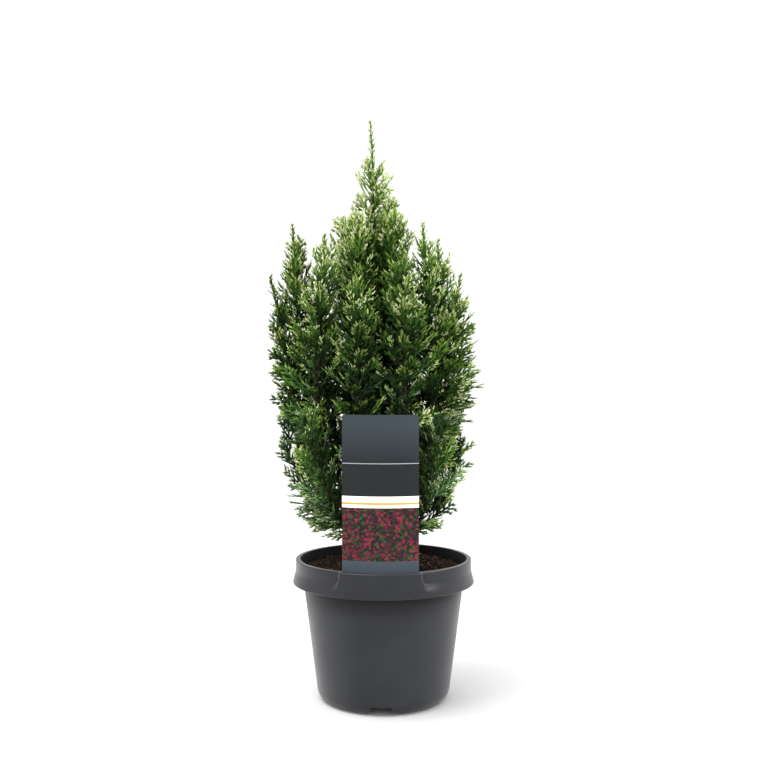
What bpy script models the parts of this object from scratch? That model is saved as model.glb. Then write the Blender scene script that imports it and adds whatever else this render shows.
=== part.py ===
"""A potted Lawson cypress, about 0.6 m tall with its pot.

A young conifer with one main stem and many upright leaders stands in a round nursery pot of grey plastic. The pot
has a flared collar with a label pocket at the front, and feet with drain notches. A plastic label stands in the
pocket. The stem runs up from the soil and carries boughs. Each bough ends where it enters its own mass of foliage:
a slender core with twigs and flat sprays that stand out of it.

Frame: metres, +Z up, the origin at the middle of the pot's underside, and the front of the plant towards -Y.
Azimuths are in degrees round the stem: 0 is right, 90 is back, 180 is left and 270 is front.
"""

import math
import random

import bmesh
import bpy
import numpy as np
from mathutils import Matrix, Vector

# Clearances
SEAT_GAP = 0.0003
SPACE_MARGIN = 0.0005
CORE_MARGIN = 0.0020

# Pot: a container of about three litres, 190 mm across its collar
POT_HEIGHT = 0.145
POT_WALL = 0.0016
POT_SEGMENTS = 32
FOOT_CORNER = 0.012
FOOT_RADIUS = 0.0694
SIDE_SLOPE = 0.130
FLOOR_UNDERSIDE = 0.0095
MIDDLE_FOOT_RADIUS = 0.028
FOOT_RING_INNER = 0.054
FLOOR_TOP = FLOOR_UNDERSIDE + POT_WALL
COLLAR_BOTTOM = 0.120
COLLAR_STEP = 0.1315
COLLAR_RADIUS = 0.095
BAND_RADIUS = 0.0916
LIP_RADIUS = 0.0868
NOTCH_COUNT = 4
NOTCH_WIDTH = 0.0208
NOTCH_FLARE = 0.0052
NOTCH_HEIGHT = 0.0093
DRAIN_COUNT = 6
DRAIN_RADIUS = 0.005
DRAIN_CIRCLE = 0.044

# Label and the pocket that holds it, both bent to the collar's curve
LABEL_WIDTH = 0.074
LABEL_TOP = 0.297
LABEL_BOTTOM = 0.1236
LABEL_RADIUS = 0.0927
LABEL_THICKNESS = 0.0008
LABEL_CORNER = 0.003
POCKET_HALF_ANGLE = 26.0
POCKET_GAP = 0.00075
POCKET_FLOOR = 0.1232
# The pot is turned a little, so its pocket and a foot notch face just left of the front.
FRONT = 268.0
LABEL_MIDDLE = LABEL_RADIUS * math.cos(math.radians(FRONT))

# Soil
SOIL_TOP = 0.137
SOIL_MOUND = 0.0015
SOIL_EDGE_FALL = 0.003
SOIL_FLAT_RADIUS = 0.016
SOIL_SEGMENTS = 28

# Main stem: foot, lean and taper
STEM_FOOT_RADIUS = 0.0065
STEM_FLARE_RADIUS = 0.0105
STEM_FLARE_HEIGHT = 0.016
STEM_TOP = 0.462
STEM_TOP_RADIUS = 0.0016
STEM_UPRIGHT = 0.005
STEM_LEAN = -0.013
STEM_LEAN_HEIGHT = 0.300
STEM_SWAY = 0.002

# Leaders: the upright boughs whose tips stand out as spires.
# Each has a name, an azimuth, the radius and height of its tip, and the girth of its foliage.
LEADERS = (
    ("far_left", 188, 0.106, 0.440, 0.035),
    ("left", 165, 0.088, 0.500, 0.037),
    ("left_front", 225, 0.065, 0.479, 0.036),
    ("front_left", 260, 0.066, 0.447, 0.035),
    ("front_right", 298, 0.064, 0.470, 0.035),
    ("right_front", 330, 0.061, 0.494, 0.034),
    ("far_right", 347, 0.095, 0.440, 0.034),
    ("right", 10, 0.072, 0.483, 0.034),
    ("low_right", 28, 0.108, 0.400, 0.035),
    ("back_right", 62, 0.076, 0.462, 0.037),
    ("back", 98, 0.078, 0.474, 0.038),
    ("back_left", 132, 0.088, 0.451, 0.038),
)
LEADER_FOOT = 0.160
LEADER_FOOT_RISE = 0.0050
LEADER_MOUTH_RADIUS = 0.034
LEADER_MOUTH_RISE = 0.052
LEADER_WAIST_RADIUS = 0.072
LEADER_WAIST_HEIGHT = 0.300
LEADER_FOOT_THICKNESS = 0.0026

BOUGH_SIDES = 4

# Skirt: a ring of short boughs that spread near the foot. Each has an azimuth and the radius and height of its tip.
SKIRT = (
    (3, 0.104, 0.262),
    (46, 0.098, 0.270),
    (90, 0.098, 0.264),
    (136, 0.100, 0.272),
    (181, 0.103, 0.258),
    (225, 0.099, 0.268),
    (270, 0.068, 0.262),
    (317, 0.096, 0.266),
)
SKIRT_FOOT = 0.148
SKIRT_FOOT_RISE = 0.0012
SKIRT_MIDDLE_OUT = 0.52
SKIRT_MIDDLE_UP = 0.27
SKIRT_MOUTH_RADIUS = 0.026
SKIRT_MOUTH_HEIGHT = 0.167
SKIRT_GIRTH = 0.038
SKIRT_FOOT_THICKNESS = 0.0022

# Shoulders: masses that sit on the upper stem itself
SHOULDER_COUNT = 4
SHOULDER_TURN = 60.0
SHOULDER_FOOT = 0.238
SHOULDER_FOOT_RISE = 0.022
SHOULDER_SPREAD = 0.030
SHOULDER_TIP = 0.500
SHOULDER_GIRTH = 0.030

# Top: the leading shoot above the stem's end
TOP_HEIGHT = 0.6045
TOP_LEAN = -0.001
TOP_GIRTH = 0.027
TOP_BARE_TIP = 0.056
TOP_TIP_WIDTH = 0.45

# The rule by which twigs and sprays grow from a mass's stem
GOLDEN_TURN = 137.508
TURN_JITTER = 14.0
TWIG_SPACING = 0.70
TWIGS_LEAST = 4
TWIG_LOWEST = 0.010
BARE_TIP = 0.026
TIP_WIDTH = 0.85
TWIG_ANGLE_LOW = 48.0
TWIG_ANGLE_HIGH = 25.0
TWIG_SHARE = 0.42
TWIG_THICKNESS = 0.0013
TWIG_SIDES = 3
SPRAY_MOST = 0.040
SPRAY_LEAST = 0.014
SPRAY_SIDE_SHARE = 0.90
# Side sprays of a twig: which hand, and where along the twig
SPRAY_SIDES = ((-1.0, 0.65), (1.0, 0.85))
SPRAY_SIDE_ANGLE = 40.0
SPRAY_THICKNESS = 0.06
SPRAY_ROOT_SUNK = 0.0025
CEILING_GAP = 0.004
# Half of a spray's outline between root and tip, as shares of its length: along it, then out from its middle line
SPRAY_OUTLINE = ((0.42, 0.20),)
SPRAY_MIDDLE = 0.50
MASS_STEM_TIP = 0.0008
CORE_SHARE = 0.46
CORE_SIDES = 6
CORE_RING_SPACING = 0.042
CORE_LOW = 0.09
LINE_STEP = 0.002
CORE_HIGH = 0.84
RAY_STEP = 0.001
END_STRETCH = 0.002
WELD = 0.000001
ATTEMPTS = 8
LABEL_CLEARANCE = 0.0022
LABEL_SIDE_CLEARANCE = 0.0080
SOIL_CLEARANCE = 0.004

PLASTIC = ("pot_plastic", (0.075, 0.078, 0.084), 0.45)
PEAT = ("peat", (0.030, 0.018, 0.012), 0.95)
CARD = ("label_card", (0.060, 0.065, 0.075), 0.35)
BARK = ("bark", (0.110, 0.065, 0.040), 0.85)
FOLIAGE = ("foliage", (0.085, 0.170, 0.045), 0.60)


def clear_scene():
    for obj in list(bpy.data.objects):
        bpy.data.objects.remove(obj)


def material(finish):
    """The material of that name, made the first time it is asked for."""
    name, colour, roughness = finish
    found = bpy.data.materials.get(name)
    if found:
        return found
    made = bpy.data.materials.new(name)
    made.use_nodes = True
    shader = made.node_tree.nodes["Principled BSDF"]
    shader.inputs["Base Color"].default_value = (*colour, 1.0)
    shader.inputs["Roughness"].default_value = roughness
    return made


def object_of(name, bm, finish, collection=None):
    """An object with this bmesh's shape, with its faces turned outwards."""
    bmesh.ops.recalc_face_normals(bm, faces=bm.faces)
    mesh = bpy.data.meshes.new(name)
    bm.to_mesh(mesh)
    bm.free()
    obj = bpy.data.objects.new(name, mesh)
    (collection or bpy.context.scene.collection).objects.link(obj)
    mesh.materials.append(material(finish))
    return obj


def boolean(target, operand, operation, solver="EXACT"):
    """Joins or cuts the target by an object or a whole collection, applies that, and removes the operand."""
    modifier = target.modifiers.new(operation.title(), "BOOLEAN")
    modifier.operation = operation
    modifier.solver = solver
    whole = isinstance(operand, bpy.types.Collection)
    if whole:
        modifier.operand_type = "COLLECTION"
        modifier.collection = operand
    else:
        modifier.object = operand
    bpy.context.view_layer.update()
    graph = bpy.context.evaluated_depsgraph_get()
    mesh = bpy.data.meshes.new_from_object(target.evaluated_get(graph))
    finish = target.data.materials[0]
    target.modifiers.clear()
    target.data = mesh
    mesh.materials.clear()
    mesh.materials.append(finish)
    for obj in list(operand.objects) if whole else [operand]:
        bpy.data.objects.remove(obj)
    if whole:
        bpy.data.collections.remove(operand)


def turned(profile, segments, turn=0.0):
    """A bmesh of revolution round Z. The profile runs from axis to axis, and a point at radius 0 is a pole."""
    bm = bmesh.new()
    rings = []
    for radius, height in profile:
        if radius == 0.0:
            rings.append([bm.verts.new((0.0, 0.0, height))])
            continue
        ring = []
        for k in range(segments):
            angle = math.tau * k / segments + turn
            ring.append(bm.verts.new((radius * math.cos(angle), radius * math.sin(angle), height)))
        rings.append(ring)
    join_rings(bm, rings)
    return bm


def join_rings(bm, rings):
    """Skins a run of rings. A ring of one vertex is a pole."""
    for lower, upper in zip(rings, rings[1:]):
        count = max(len(lower), len(upper))
        for k in range(count):
            following = (k + 1) % count
            corners = [lower[k % len(lower)], lower[following % len(lower)]]
            corners += [upper[following % len(upper)], upper[k % len(upper)]]
            bm.faces.new(list(dict.fromkeys(corners)))


def arc(centre_radius, centre_height, radius, first, last, steps):
    """Profile points on a round corner, between two angles in degrees."""
    points = []
    for k in range(steps + 1):
        angle = math.radians(first + (last - first) * k / steps)
        points.append((centre_radius + radius * math.cos(angle), centre_height + radius * math.sin(angle)))
    return points


def sector(inner, outer, low, high, half_angle, middle, steps):
    """A closed slab that follows a circle round Z: between two radii, two heights and two angles."""
    bm = bmesh.new()
    rings = []
    for k in range(steps + 1):
        angle = math.radians(middle - half_angle + 2.0 * half_angle * k / steps)
        across = Vector((math.cos(angle), math.sin(angle), 0.0))
        corners = ((inner, low), (outer, low), (outer, high), (inner, high))
        rings.append([bm.verts.new(across * radius + Vector((0.0, 0.0, z))) for radius, z in corners])
    join_rings(bm, rings)
    bm.faces.new(rings[0])
    bm.faces.new(rings[-1])
    return bm


def wall_radius(height):
    """The outside radius of the pot's sloping side."""
    return FOOT_RADIUS + SIDE_SLOPE * (height - FOOT_CORNER)


def pot_profile():
    """The pot's cross-section, from the middle of its underside round to the middle of its floor."""
    wall = POT_WALL
    shoulder = COLLAR_BOTTOM + 0.001
    points = [(0.0, 0.0), (MIDDLE_FOOT_RADIUS, 0.0), (MIDDLE_FOOT_RADIUS + 0.005, FLOOR_UNDERSIDE)]
    points += [(FOOT_RING_INNER - 0.002, FLOOR_UNDERSIDE), (FOOT_RING_INNER, 0.0)]
    points += arc(FOOT_RADIUS - FOOT_CORNER, FOOT_CORNER, FOOT_CORNER, -90.0, 0.0, 4)
    points += [(wall_radius(shoulder), shoulder), (LIP_RADIUS + wall, POT_HEIGHT - 2.0 * wall)]
    points += [(BAND_RADIUS - wall, POT_HEIGHT - 2.0 * wall), (BAND_RADIUS - wall, COLLAR_STEP)]
    points += [(COLLAR_RADIUS - 1.6 * wall, COLLAR_BOTTOM + 0.004), (COLLAR_RADIUS - 1.4 * wall, COLLAR_BOTTOM)]
    points += [(COLLAR_RADIUS - 0.4 * wall, COLLAR_BOTTOM), (COLLAR_RADIUS, COLLAR_BOTTOM + 0.0015)]
    points += [(BAND_RADIUS + 0.0012, COLLAR_STEP - 0.001), (BAND_RADIUS, COLLAR_STEP + 0.002)]
    points += [(BAND_RADIUS, POT_HEIGHT - 0.0015), (BAND_RADIUS - 0.0015, POT_HEIGHT)]
    points += [(LIP_RADIUS, POT_HEIGHT), (wall_radius(shoulder) - wall, shoulder)]
    points += [(wall_radius(FLOOR_TOP) - wall, FLOOR_TOP), (0.0, FLOOR_TOP)]
    return points


def notch_cutter(azimuth):
    """A block that cuts one drain notch, wider at the ground, through the foot ring."""
    bm = bmesh.new()
    low = -0.002
    rings = []
    for reach in (FOOT_RING_INNER - 0.006, FOOT_RADIUS + 0.006):
        low_half = NOTCH_WIDTH / 2.0 + NOTCH_FLARE * 1.2
        top_half = NOTCH_WIDTH / 2.0
        corners = ((-low_half, low), (low_half, low), (top_half, NOTCH_HEIGHT), (-top_half, NOTCH_HEIGHT))
        rings.append([bm.verts.new((reach, across, z)) for across, z in corners])
    join_rings(bm, rings)
    bm.faces.new(rings[0])
    bm.faces.new(rings[1])
    bm.transform(Matrix.Rotation(math.radians(azimuth), 4, "Z"))
    return object_of("notch", bm, PLASTIC)


def drain_cutter(azimuth):
    """A round drill for one drain hole in the raised part of the floor."""
    bm = bmesh.new()
    depth = 0.006
    middle = Matrix.Translation((DRAIN_CIRCLE, 0.0, FLOOR_TOP - POT_WALL / 2.0))
    place = Matrix.Rotation(math.radians(azimuth), 4, "Z") @ middle
    bmesh.ops.create_cone(
        bm, cap_ends=True, segments=8, radius1=DRAIN_RADIUS, radius2=DRAIN_RADIUS, depth=depth, matrix=place
    )
    return object_of("drain", bm, PLASTIC)


def make_pot():
    pot = object_of("pot", turned(pot_profile(), POT_SEGMENTS, math.pi / POT_SEGMENTS), PLASTIC)
    inner = BAND_RADIUS - POT_WALL * 0.7
    outer = COLLAR_RADIUS - 0.0003
    body = sector(inner, outer, COLLAR_BOTTOM + 0.0007, POT_HEIGHT - 0.0004, POCKET_HALF_ANGLE, FRONT, 7)
    boolean(pot, object_of("pocket", body, PLASTIC), "UNION")
    slot_inner = LABEL_RADIUS - LABEL_THICKNESS - POCKET_GAP
    slot_outer = LABEL_RADIUS + POCKET_GAP
    half = math.degrees(math.asin(LABEL_WIDTH / 2.0 / LABEL_RADIUS)) + 0.7
    slot = sector(slot_inner, slot_outer, POCKET_FLOOR, POT_HEIGHT + 0.01, half, FRONT, 7)
    boolean(pot, object_of("slot", slot, PLASTIC), "DIFFERENCE")
    for k in range(NOTCH_COUNT):
        boolean(pot, notch_cutter(FRONT + 360.0 * k / NOTCH_COUNT), "DIFFERENCE", "MANIFOLD")
    for k in range(DRAIN_COUNT):
        boolean(pot, drain_cutter(360.0 * (k + 0.5) / DRAIN_COUNT), "DIFFERENCE", "MANIFOLD")
    pot.data.shade_smooth()
    pot.data.set_sharp_from_angle(angle=math.radians(35.0))


def make_soil():
    """The soil that fills the pot, a little higher round the stem."""
    gap = SEAT_GAP / math.cos(math.pi / POT_SEGMENTS) + 0.0004
    shoulder = COLLAR_BOTTOM + 0.001
    low = FLOOR_TOP + SEAT_GAP
    upper_slope = (LIP_RADIUS - wall_radius(shoulder) + POT_WALL) / (POT_HEIGHT - shoulder)
    edge = SOIL_TOP - SOIL_EDGE_FALL
    rim = wall_radius(shoulder) - POT_WALL + upper_slope * (edge - shoulder) - gap
    profile = [(0.0, low), (wall_radius(low) - POT_WALL - gap, low)]
    profile += [(wall_radius(shoulder) - POT_WALL - gap, shoulder), (rim, edge)]
    profile += [(rim * 0.9, SOIL_TOP - 0.0012), (rim * 0.5, SOIL_TOP), (SOIL_FLAT_RADIUS, SOIL_TOP + SOIL_MOUND)]
    profile += [(0.0, SOIL_TOP + SOIL_MOUND)]
    object_of("soil", turned(profile, SOIL_SEGMENTS), PEAT)


def make_label():
    """The plastic label: a tall card bent to the curve of its pocket, with small round corners at the top."""
    bm = bmesh.new()
    half = math.asin(LABEL_WIDTH / 2.0 / LABEL_RADIUS)
    corner = LABEL_CORNER / LABEL_RADIUS
    shares = [-1.0, -1.0 + 0.3 * corner / half, -1.0 + corner / half, -0.5, 0.0]
    shares += [-share for share in reversed(shares[:-1])]
    rings = []
    for share in shares:
        inset = max(0.0, 1.0 - (1.0 - abs(share)) * half / corner)
        top = LABEL_TOP - LABEL_CORNER * (1.0 - math.sqrt(1.0 - inset * inset))
        angle = math.radians(FRONT) + share * half
        across = Vector((math.cos(angle), math.sin(angle), 0.0))
        sides = ((LABEL_RADIUS - LABEL_THICKNESS, LABEL_BOTTOM), (LABEL_RADIUS, LABEL_BOTTOM))
        sides += ((LABEL_RADIUS, top), (LABEL_RADIUS - LABEL_THICKNESS, top))
        rings.append([bm.verts.new(across * radius + Vector((0.0, 0.0, z))) for radius, z in sides])
    join_rings(bm, rings)
    bm.faces.new(rings[0])
    bm.faces.new(rings[-1])
    object_of("plant_label", bm, CARD)


def stem_place(height):
    """The middle of the main stem at a height: upright at the soil, then leaning left with a slight sway."""
    foot = SOIL_TOP + SOIL_MOUND + STEM_UPRIGHT
    run = max(0.0, height - foot)
    share = min(1.0, run / (STEM_LEAN_HEIGHT - foot))
    lean = STEM_LEAN * share * share * (3.0 - 2.0 * share)
    sway = STEM_SWAY * math.sin(run / (STEM_TOP - foot) * 2.5 * math.pi)
    return Vector((lean, sway, height))


def stem_radius(height):
    """The main stem's radius at a height, with a flare at its foot."""
    foot = SOIL_TOP + SOIL_MOUND
    share = (height - foot) / (STEM_TOP - foot)
    radius = STEM_FOOT_RADIUS + (STEM_TOP_RADIUS - STEM_FOOT_RADIUS) * share
    flare = max(0.0, 1.0 - (height - foot) / STEM_FLARE_HEIGHT)
    return radius + (STEM_FLARE_RADIUS - STEM_FOOT_RADIUS) * flare * flare


def curve_through(points, spacing):
    """Points along a smooth curve through the given ones, about this far apart."""
    ends = [points[0] * 2.0 - points[1], *points, points[-1] * 2.0 - points[-2]]
    found = [points[0]]
    for a, b, c, d in zip(ends, ends[1:], ends[2:], ends[3:]):
        steps = max(1, round((c - b).length / spacing))
        for k in range(1, steps + 1):
            t = k / steps
            cubic = (d - a + (b - c) * 3.0) * t**3 + (a * 2.0 - b * 5.0 + c * 4.0 - d) * t**2
            found.append((cubic + (c - a) * t + b * 2.0) / 2.0)
    return found


def lengths_along(line):
    """The distance from the line's start to each of its points."""
    found = [0.0]
    for before, after in zip(line, line[1:]):
        found.append(found[-1] + (after - before).length)
    return found


def place_along(line, distance):
    """The point at a distance along the line, and the line's direction there."""
    run = lengths_along(line)
    distance = min(max(distance, 0.0), run[-1])
    k = next((i for i in range(1, len(run)) if run[i] >= distance), len(run) - 1)
    step = line[k] - line[k - 1]
    return line[k - 1] + step * ((distance - run[k - 1]) / step.length), step.normalized()


def part_of(line, start, end, spacing):
    """The stretch of a line between two distances, with points about this far apart."""
    steps = max(1, round((end - start) / spacing))
    return [place_along(line, start + (end - start) * k / steps)[0] for k in range(steps + 1)]


def limb(line, radii, sides):
    """A bmesh of a closed tube along the line, one radius for each point."""
    bm = bmesh.new()
    rings = []
    side = (line[1] - line[0]).orthogonal().normalized()
    for k, point in enumerate(line):
        along = (line[min(k + 1, len(line) - 1)] - line[max(k - 1, 0)]).normalized()
        side = (side - along * side.dot(along)).normalized()
        other = along.cross(side)
        ring = []
        for n in range(sides):
            angle = math.tau * n / sides
            ring.append(bm.verts.new(point + (side * math.cos(angle) + other * math.sin(angle)) * radii[k]))
        rings.append(ring)
    join_rings(bm, rings)
    bm.faces.new(rings[0])
    bm.faces.new(rings[-1])
    return bm


def stem_line(extra=0.0):
    """The main stem's middle line and radii, thicker by extra all over and longer by it at the foot."""
    foot = SOIL_TOP + SOIL_MOUND + SEAT_GAP
    heights = [foot - extra * 4.0, foot + 0.003, foot + 0.008, foot + STEM_FLARE_HEIGHT]
    heights += [foot + STEM_FLARE_HEIGHT + (STEM_TOP - foot - STEM_FLARE_HEIGHT) * k / 7.0 for k in range(1, 8)]
    return [stem_place(z) for z in heights], [stem_radius(max(z, foot)) + extra for z in heights]


def make_stem():
    line, radii = stem_line()
    object_of("stem", limb(line, radii, 8), BARK)


def stem_cutter():
    """The stem with its clearance, to cut the foot of a bough or a mass's stem to its curve."""
    line, radii = stem_line(SEAT_GAP)
    return object_of("cutter", limb(line, radii, 8), BARK)


class Mass:
    """One mass of foliage: the line that its bough and stem follow, and how far its twigs reach from it.

    mouth is the distance along the line where the bough ends and the mass begins. With no bough it is 0.
    """

    def __init__(self, name, line, mouth, girth, foot_thickness, bare_tip=BARE_TIP, tip_width=TIP_WIDTH):
        self.name = name
        self.whole = line
        self.mouth = mouth
        self.girth = girth
        self.foot_thickness = foot_thickness
        self.bare_tip = bare_tip
        self.tip_width = tip_width
        self.ceiling = line[-1].z - CEILING_GAP
        self.length = lengths_along(line)[-1]
        start = mouth + SEAT_GAP if mouth else 0.0
        self.stem = part_of(line, start, self.length, 0.004)
        self.stem_length = lengths_along(self.stem)[-1]
        outward = line[-1] - line[0]
        self.across = Vector((-outward.y, outward.x, 0.0)).normalized()

    def frame(self, along):
        """Two directions at right angles to the stem's: one across the mass, the other facing in or out."""
        side = (self.across - along * self.across.dot(along)).normalized()
        return side, along.cross(side)

    def thickness(self, distance):
        """The radius of bough or stem at a distance along the whole line."""
        return self.foot_thickness + (MASS_STEM_TIP - self.foot_thickness) * distance / self.length

    def reach(self, share):
        """How far the foliage stands from the stem at a share of its length: full low down, narrow at the tip."""
        if share < 0.22:
            return self.girth * (0.62 + 0.38 * math.sin(share / 0.22 * math.pi / 2.0))
        fall = (share - 0.22) / 0.78
        return self.girth * (1.0 - 0.86 * fall**1.35)


def round_stem(azimuth, radius, height):
    """A point at an azimuth and radius round the main stem's line."""
    angle = math.radians(azimuth)
    return stem_place(height) + Vector((math.cos(angle), math.sin(angle), 0.0)) * radius


def bough_line(azimuth, foot, mouth, others):
    """A line from the stem's middle at foot height through the mouth and the other (radius, height) places."""
    places = [stem_place(foot)]
    places += [round_stem(azimuth, radius, height) for radius, height in (mouth, *others)]
    line = curve_through(places, LINE_STEP)
    nearest = min(range(len(line)), key=lambda k: (line[k] - places[1]).length)
    return line, lengths_along(line)[nearest]


def leader_masses():
    masses = []
    for order, (name, azimuth, radius, height, girth) in enumerate(LEADERS):
        foot = LEADER_FOOT + LEADER_FOOT_RISE * ((order * 5) % len(LEADERS))
        mouth = (LEADER_MOUTH_RADIUS, foot + LEADER_MOUTH_RISE)
        waist = (LEADER_WAIST_RADIUS, LEADER_WAIST_HEIGHT)
        line, at = bough_line(azimuth, foot, mouth, (waist, (radius, height)))
        masses.append(Mass("leader_" + name, line, at, girth, LEADER_FOOT_THICKNESS))
    return masses


def skirt_masses():
    masses = []
    for k, (azimuth, radius, height) in enumerate(SKIRT):
        foot = SKIRT_FOOT + SKIRT_FOOT_RISE * ((k * 3) % len(SKIRT))
        mouth = (SKIRT_MOUTH_RADIUS, SKIRT_MOUTH_HEIGHT)
        middle_radius = SKIRT_MOUTH_RADIUS + (radius - SKIRT_MOUTH_RADIUS) * SKIRT_MIDDLE_OUT
        middle_height = SKIRT_MOUTH_HEIGHT + (height - SKIRT_MOUTH_HEIGHT) * SKIRT_MIDDLE_UP
        line, at = bough_line(azimuth, foot, mouth, ((middle_radius, middle_height), (radius, height)))
        masses.append(Mass(f"skirt_{k + 1}", line, at, SKIRT_GIRTH, SKIRT_FOOT_THICKNESS))
    return masses


def shoulder_masses():
    masses = []
    for k in range(SHOULDER_COUNT):
        azimuth = SHOULDER_TURN + 360.0 * k / SHOULDER_COUNT
        foot = SHOULDER_FOOT + SHOULDER_FOOT_RISE * k
        middle = (SHOULDER_SPREAD * 0.8, (foot + SHOULDER_TIP) / 2.0)
        places = [stem_place(foot), round_stem(azimuth, *middle)]
        places.append(round_stem(azimuth, SHOULDER_SPREAD, SHOULDER_TIP))
        line = curve_through(places, LINE_STEP)
        masses.append(Mass(f"shoulder_{k + 1}", line, 0.0, SHOULDER_GIRTH, STEM_TOP_RADIUS))
    return masses


def top_mass():
    foot = stem_place(STEM_TOP) + Vector((0.0, 0.0, SEAT_GAP))
    tip = Vector((STEM_LEAN + TOP_LEAN, 0.0, TOP_HEIGHT))
    middle = (foot + tip) / 2.0 + Vector((0.003, 0.0, 0.0))
    line = curve_through([foot, middle, tip], LINE_STEP)
    return Mass("top", line, 0.0, TOP_GIRTH, STEM_TOP_RADIUS, TOP_BARE_TIP, TOP_TIP_WIDTH)


class Crown:
    """All the masses, with the space that each one keeps to.

    A point belongs to the mass whose stem is nearest, measured in that mass's girths. It is also clear of the
    main stem, the boughs, the label and the soil.
    """

    def __init__(self, masses):
        self.masses = masses
        self.points = np.array([p for mass in masses for p in mass.stem])
        self.owner = np.array([k for k, mass in enumerate(masses) for _ in mass.stem])
        self.girths = np.array([mass.girth for mass in masses])[self.owner]
        line = [stem_place(SOIL_TOP + 0.002 * k) for k in range(int((STEM_TOP - SOIL_TOP) / 0.002))]
        limbs = [(*p, stem_radius(p.z)) for p in line]
        for mass in masses:
            if mass.mouth:
                for p in part_of(mass.whole, 0.0, mass.mouth, 0.002):
                    limbs.append((*p, mass.foot_thickness))
        self.limbs = np.array(limbs)

    def is_free(self, points, index, margin):
        """Whether each point lies in this mass's own space, with a margin."""
        points = np.asarray(points, float).reshape(-1, 3)
        away = np.linalg.norm(points[:, None, :] - self.points[None], axis=2) / self.girths
        own = self.owner == index
        slack = (away[:, ~own].min(axis=1) - away[:, own].min(axis=1)) * self.masses[index].girth / 2.0
        limbs = np.linalg.norm(points[:, None, :] - self.limbs[None, :, :3], axis=2) - self.limbs[:, 3]
        out = np.hypot(points[:, 0], points[:, 1])
        behind_label = out < LABEL_RADIUS - LABEL_THICKNESS - LABEL_CLEARANCE
        across = np.abs(points[:, 0] - LABEL_MIDDLE)
        beside = (across > LABEL_WIDTH / 2.0 + LABEL_SIDE_CLEARANCE) | (points[:, 1] > 0.0)
        above = points[:, 2] > LABEL_TOP + LABEL_SIDE_CLEARANCE
        high = points[:, 2] > POT_HEIGHT + SOIL_CLEARANCE
        low = (out < LIP_RADIUS - SOIL_CLEARANCE) & (points[:, 2] > SOIL_TOP + SOIL_CLEARANCE)
        clear = limbs.min(axis=1) > margin + 0.0006
        return (slack > margin) & clear & (behind_label | beside | above) & (high | low)


def core_of(crown, index):
    """The mass's core: rings round its stem, each point drawn in where it would leave the mass's own space."""
    mass = crown.masses[index]
    bm = bmesh.new()
    span = mass.stem_length
    count = max(3, round(span * (CORE_HIGH - CORE_LOW) / CORE_RING_SPACING))
    rings = [[bm.verts.new(place_along(mass.stem, span * (CORE_LOW - 0.04))[0])]]
    for n in range(count + 1):
        share = CORE_LOW + (CORE_HIGH - CORE_LOW) * n / count
        middle, along = place_along(mass.stem, span * share)
        side, other = mass.frame(along)
        full = mass.reach(share) * CORE_SHARE
        least = mass.thickness(mass.mouth + span * share) * 1.6
        ring = []
        for k in range(CORE_SIDES):
            angle = math.tau * (k + 0.5 * (n % 2)) / CORE_SIDES
            way = side * math.cos(angle) + other * math.sin(angle)
            steps = [least + RAY_STEP * s for s in range(int((full - least) / RAY_STEP) + 1)] or [least]
            inside = crown.is_free([middle + way * r for r in steps], index, CORE_MARGIN)
            last = next((s for s, good in enumerate(inside) if not good), len(steps))
            ring.append(bm.verts.new(middle + way * steps[max(0, last - 1)]))
        rings.append(ring)
    rings.append([bm.verts.new(place_along(mass.stem, span * (CORE_HIGH + 0.05))[0])])
    join_rings(bm, rings)
    bmesh.ops.triangulate(bm, faces=bm.faces)
    return bm


def spray(root, along, flat, length, width):
    """A pointed blade, thickest in its middle. Also gives points all round it, to test for clearance."""
    bm = bmesh.new()
    across = flat.cross(along).normalized() * width
    outline = [root]
    outline += [root + along * (length * a) + across * (length * b) for a, b in SPRAY_OUTLINE]
    outline.append(root + along * length)
    outline += [root + along * (length * a) - across * (length * b) for a, b in reversed(SPRAY_OUTLINE)]
    middle = root + along * (length * SPRAY_MIDDLE)
    lift = flat * (length * SPRAY_THICKNESS / 2.0)
    rim = [bm.verts.new(p) for p in outline]
    for pole in (bm.verts.new(middle + lift), bm.verts.new(middle - lift)):
        for k in range(len(rim)):
            bm.faces.new((rim[k], rim[(k + 1) % len(rim)], pole))
    tested = outline[1:] + [middle + lift, middle - lift]
    tested += [(outline[k] + outline[k + 1]) / 2.0 for k in range(1, len(outline) - 1)]
    return bm, tested


def add_spray(crown, index, collection, root, along, flat, length, width=1.0):
    """Puts one spray into the mass, unless it would leave the mass's own space."""
    bm, tested = spray(root, along, flat, length, width)
    if not crown.is_free(tested, index, SPACE_MARGIN).all():
        bm.free()
        return
    object_of("spray", bm, FOLIAGE, collection)


def twigs_of(mass, rng):
    """The rule for a mass's twigs: for each one its root, its direction, a flat side and its full length.

    They wind up the stem by the golden angle, spread wide low down and close up towards the tip. The length
    brings a twig's last spray out to the mass's reach.
    """
    first_turn = rng.uniform(0.0, 360.0)
    span = mass.stem_length - mass.bare_tip - TWIG_LOWEST
    count = max(TWIGS_LEAST, round(span / (mass.girth * TWIG_SPACING)))
    for k in range(count):
        run = TWIG_LOWEST + span * (k + 0.3) / count
        share = run / mass.stem_length
        root, stem_way = place_along(mass.stem, run)
        side, other = mass.frame(stem_way)
        turn = math.radians(first_turn + GOLDEN_TURN * k + rng.uniform(-TURN_JITTER, TURN_JITTER))
        outward = side * math.cos(turn) + other * math.sin(turn)
        angle = math.radians(TWIG_ANGLE_LOW + (TWIG_ANGLE_HIGH - TWIG_ANGLE_LOW) * share)
        along = stem_way * math.cos(angle) + outward * math.sin(angle)
        flat = (stem_way.cross(outward) + stem_way * rng.uniform(-0.9, 0.9)).cross(along).normalized()
        yield root, along, flat, max(mass.reach(share) / math.sin(angle), SPRAY_LEAST * 1.4)


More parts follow.
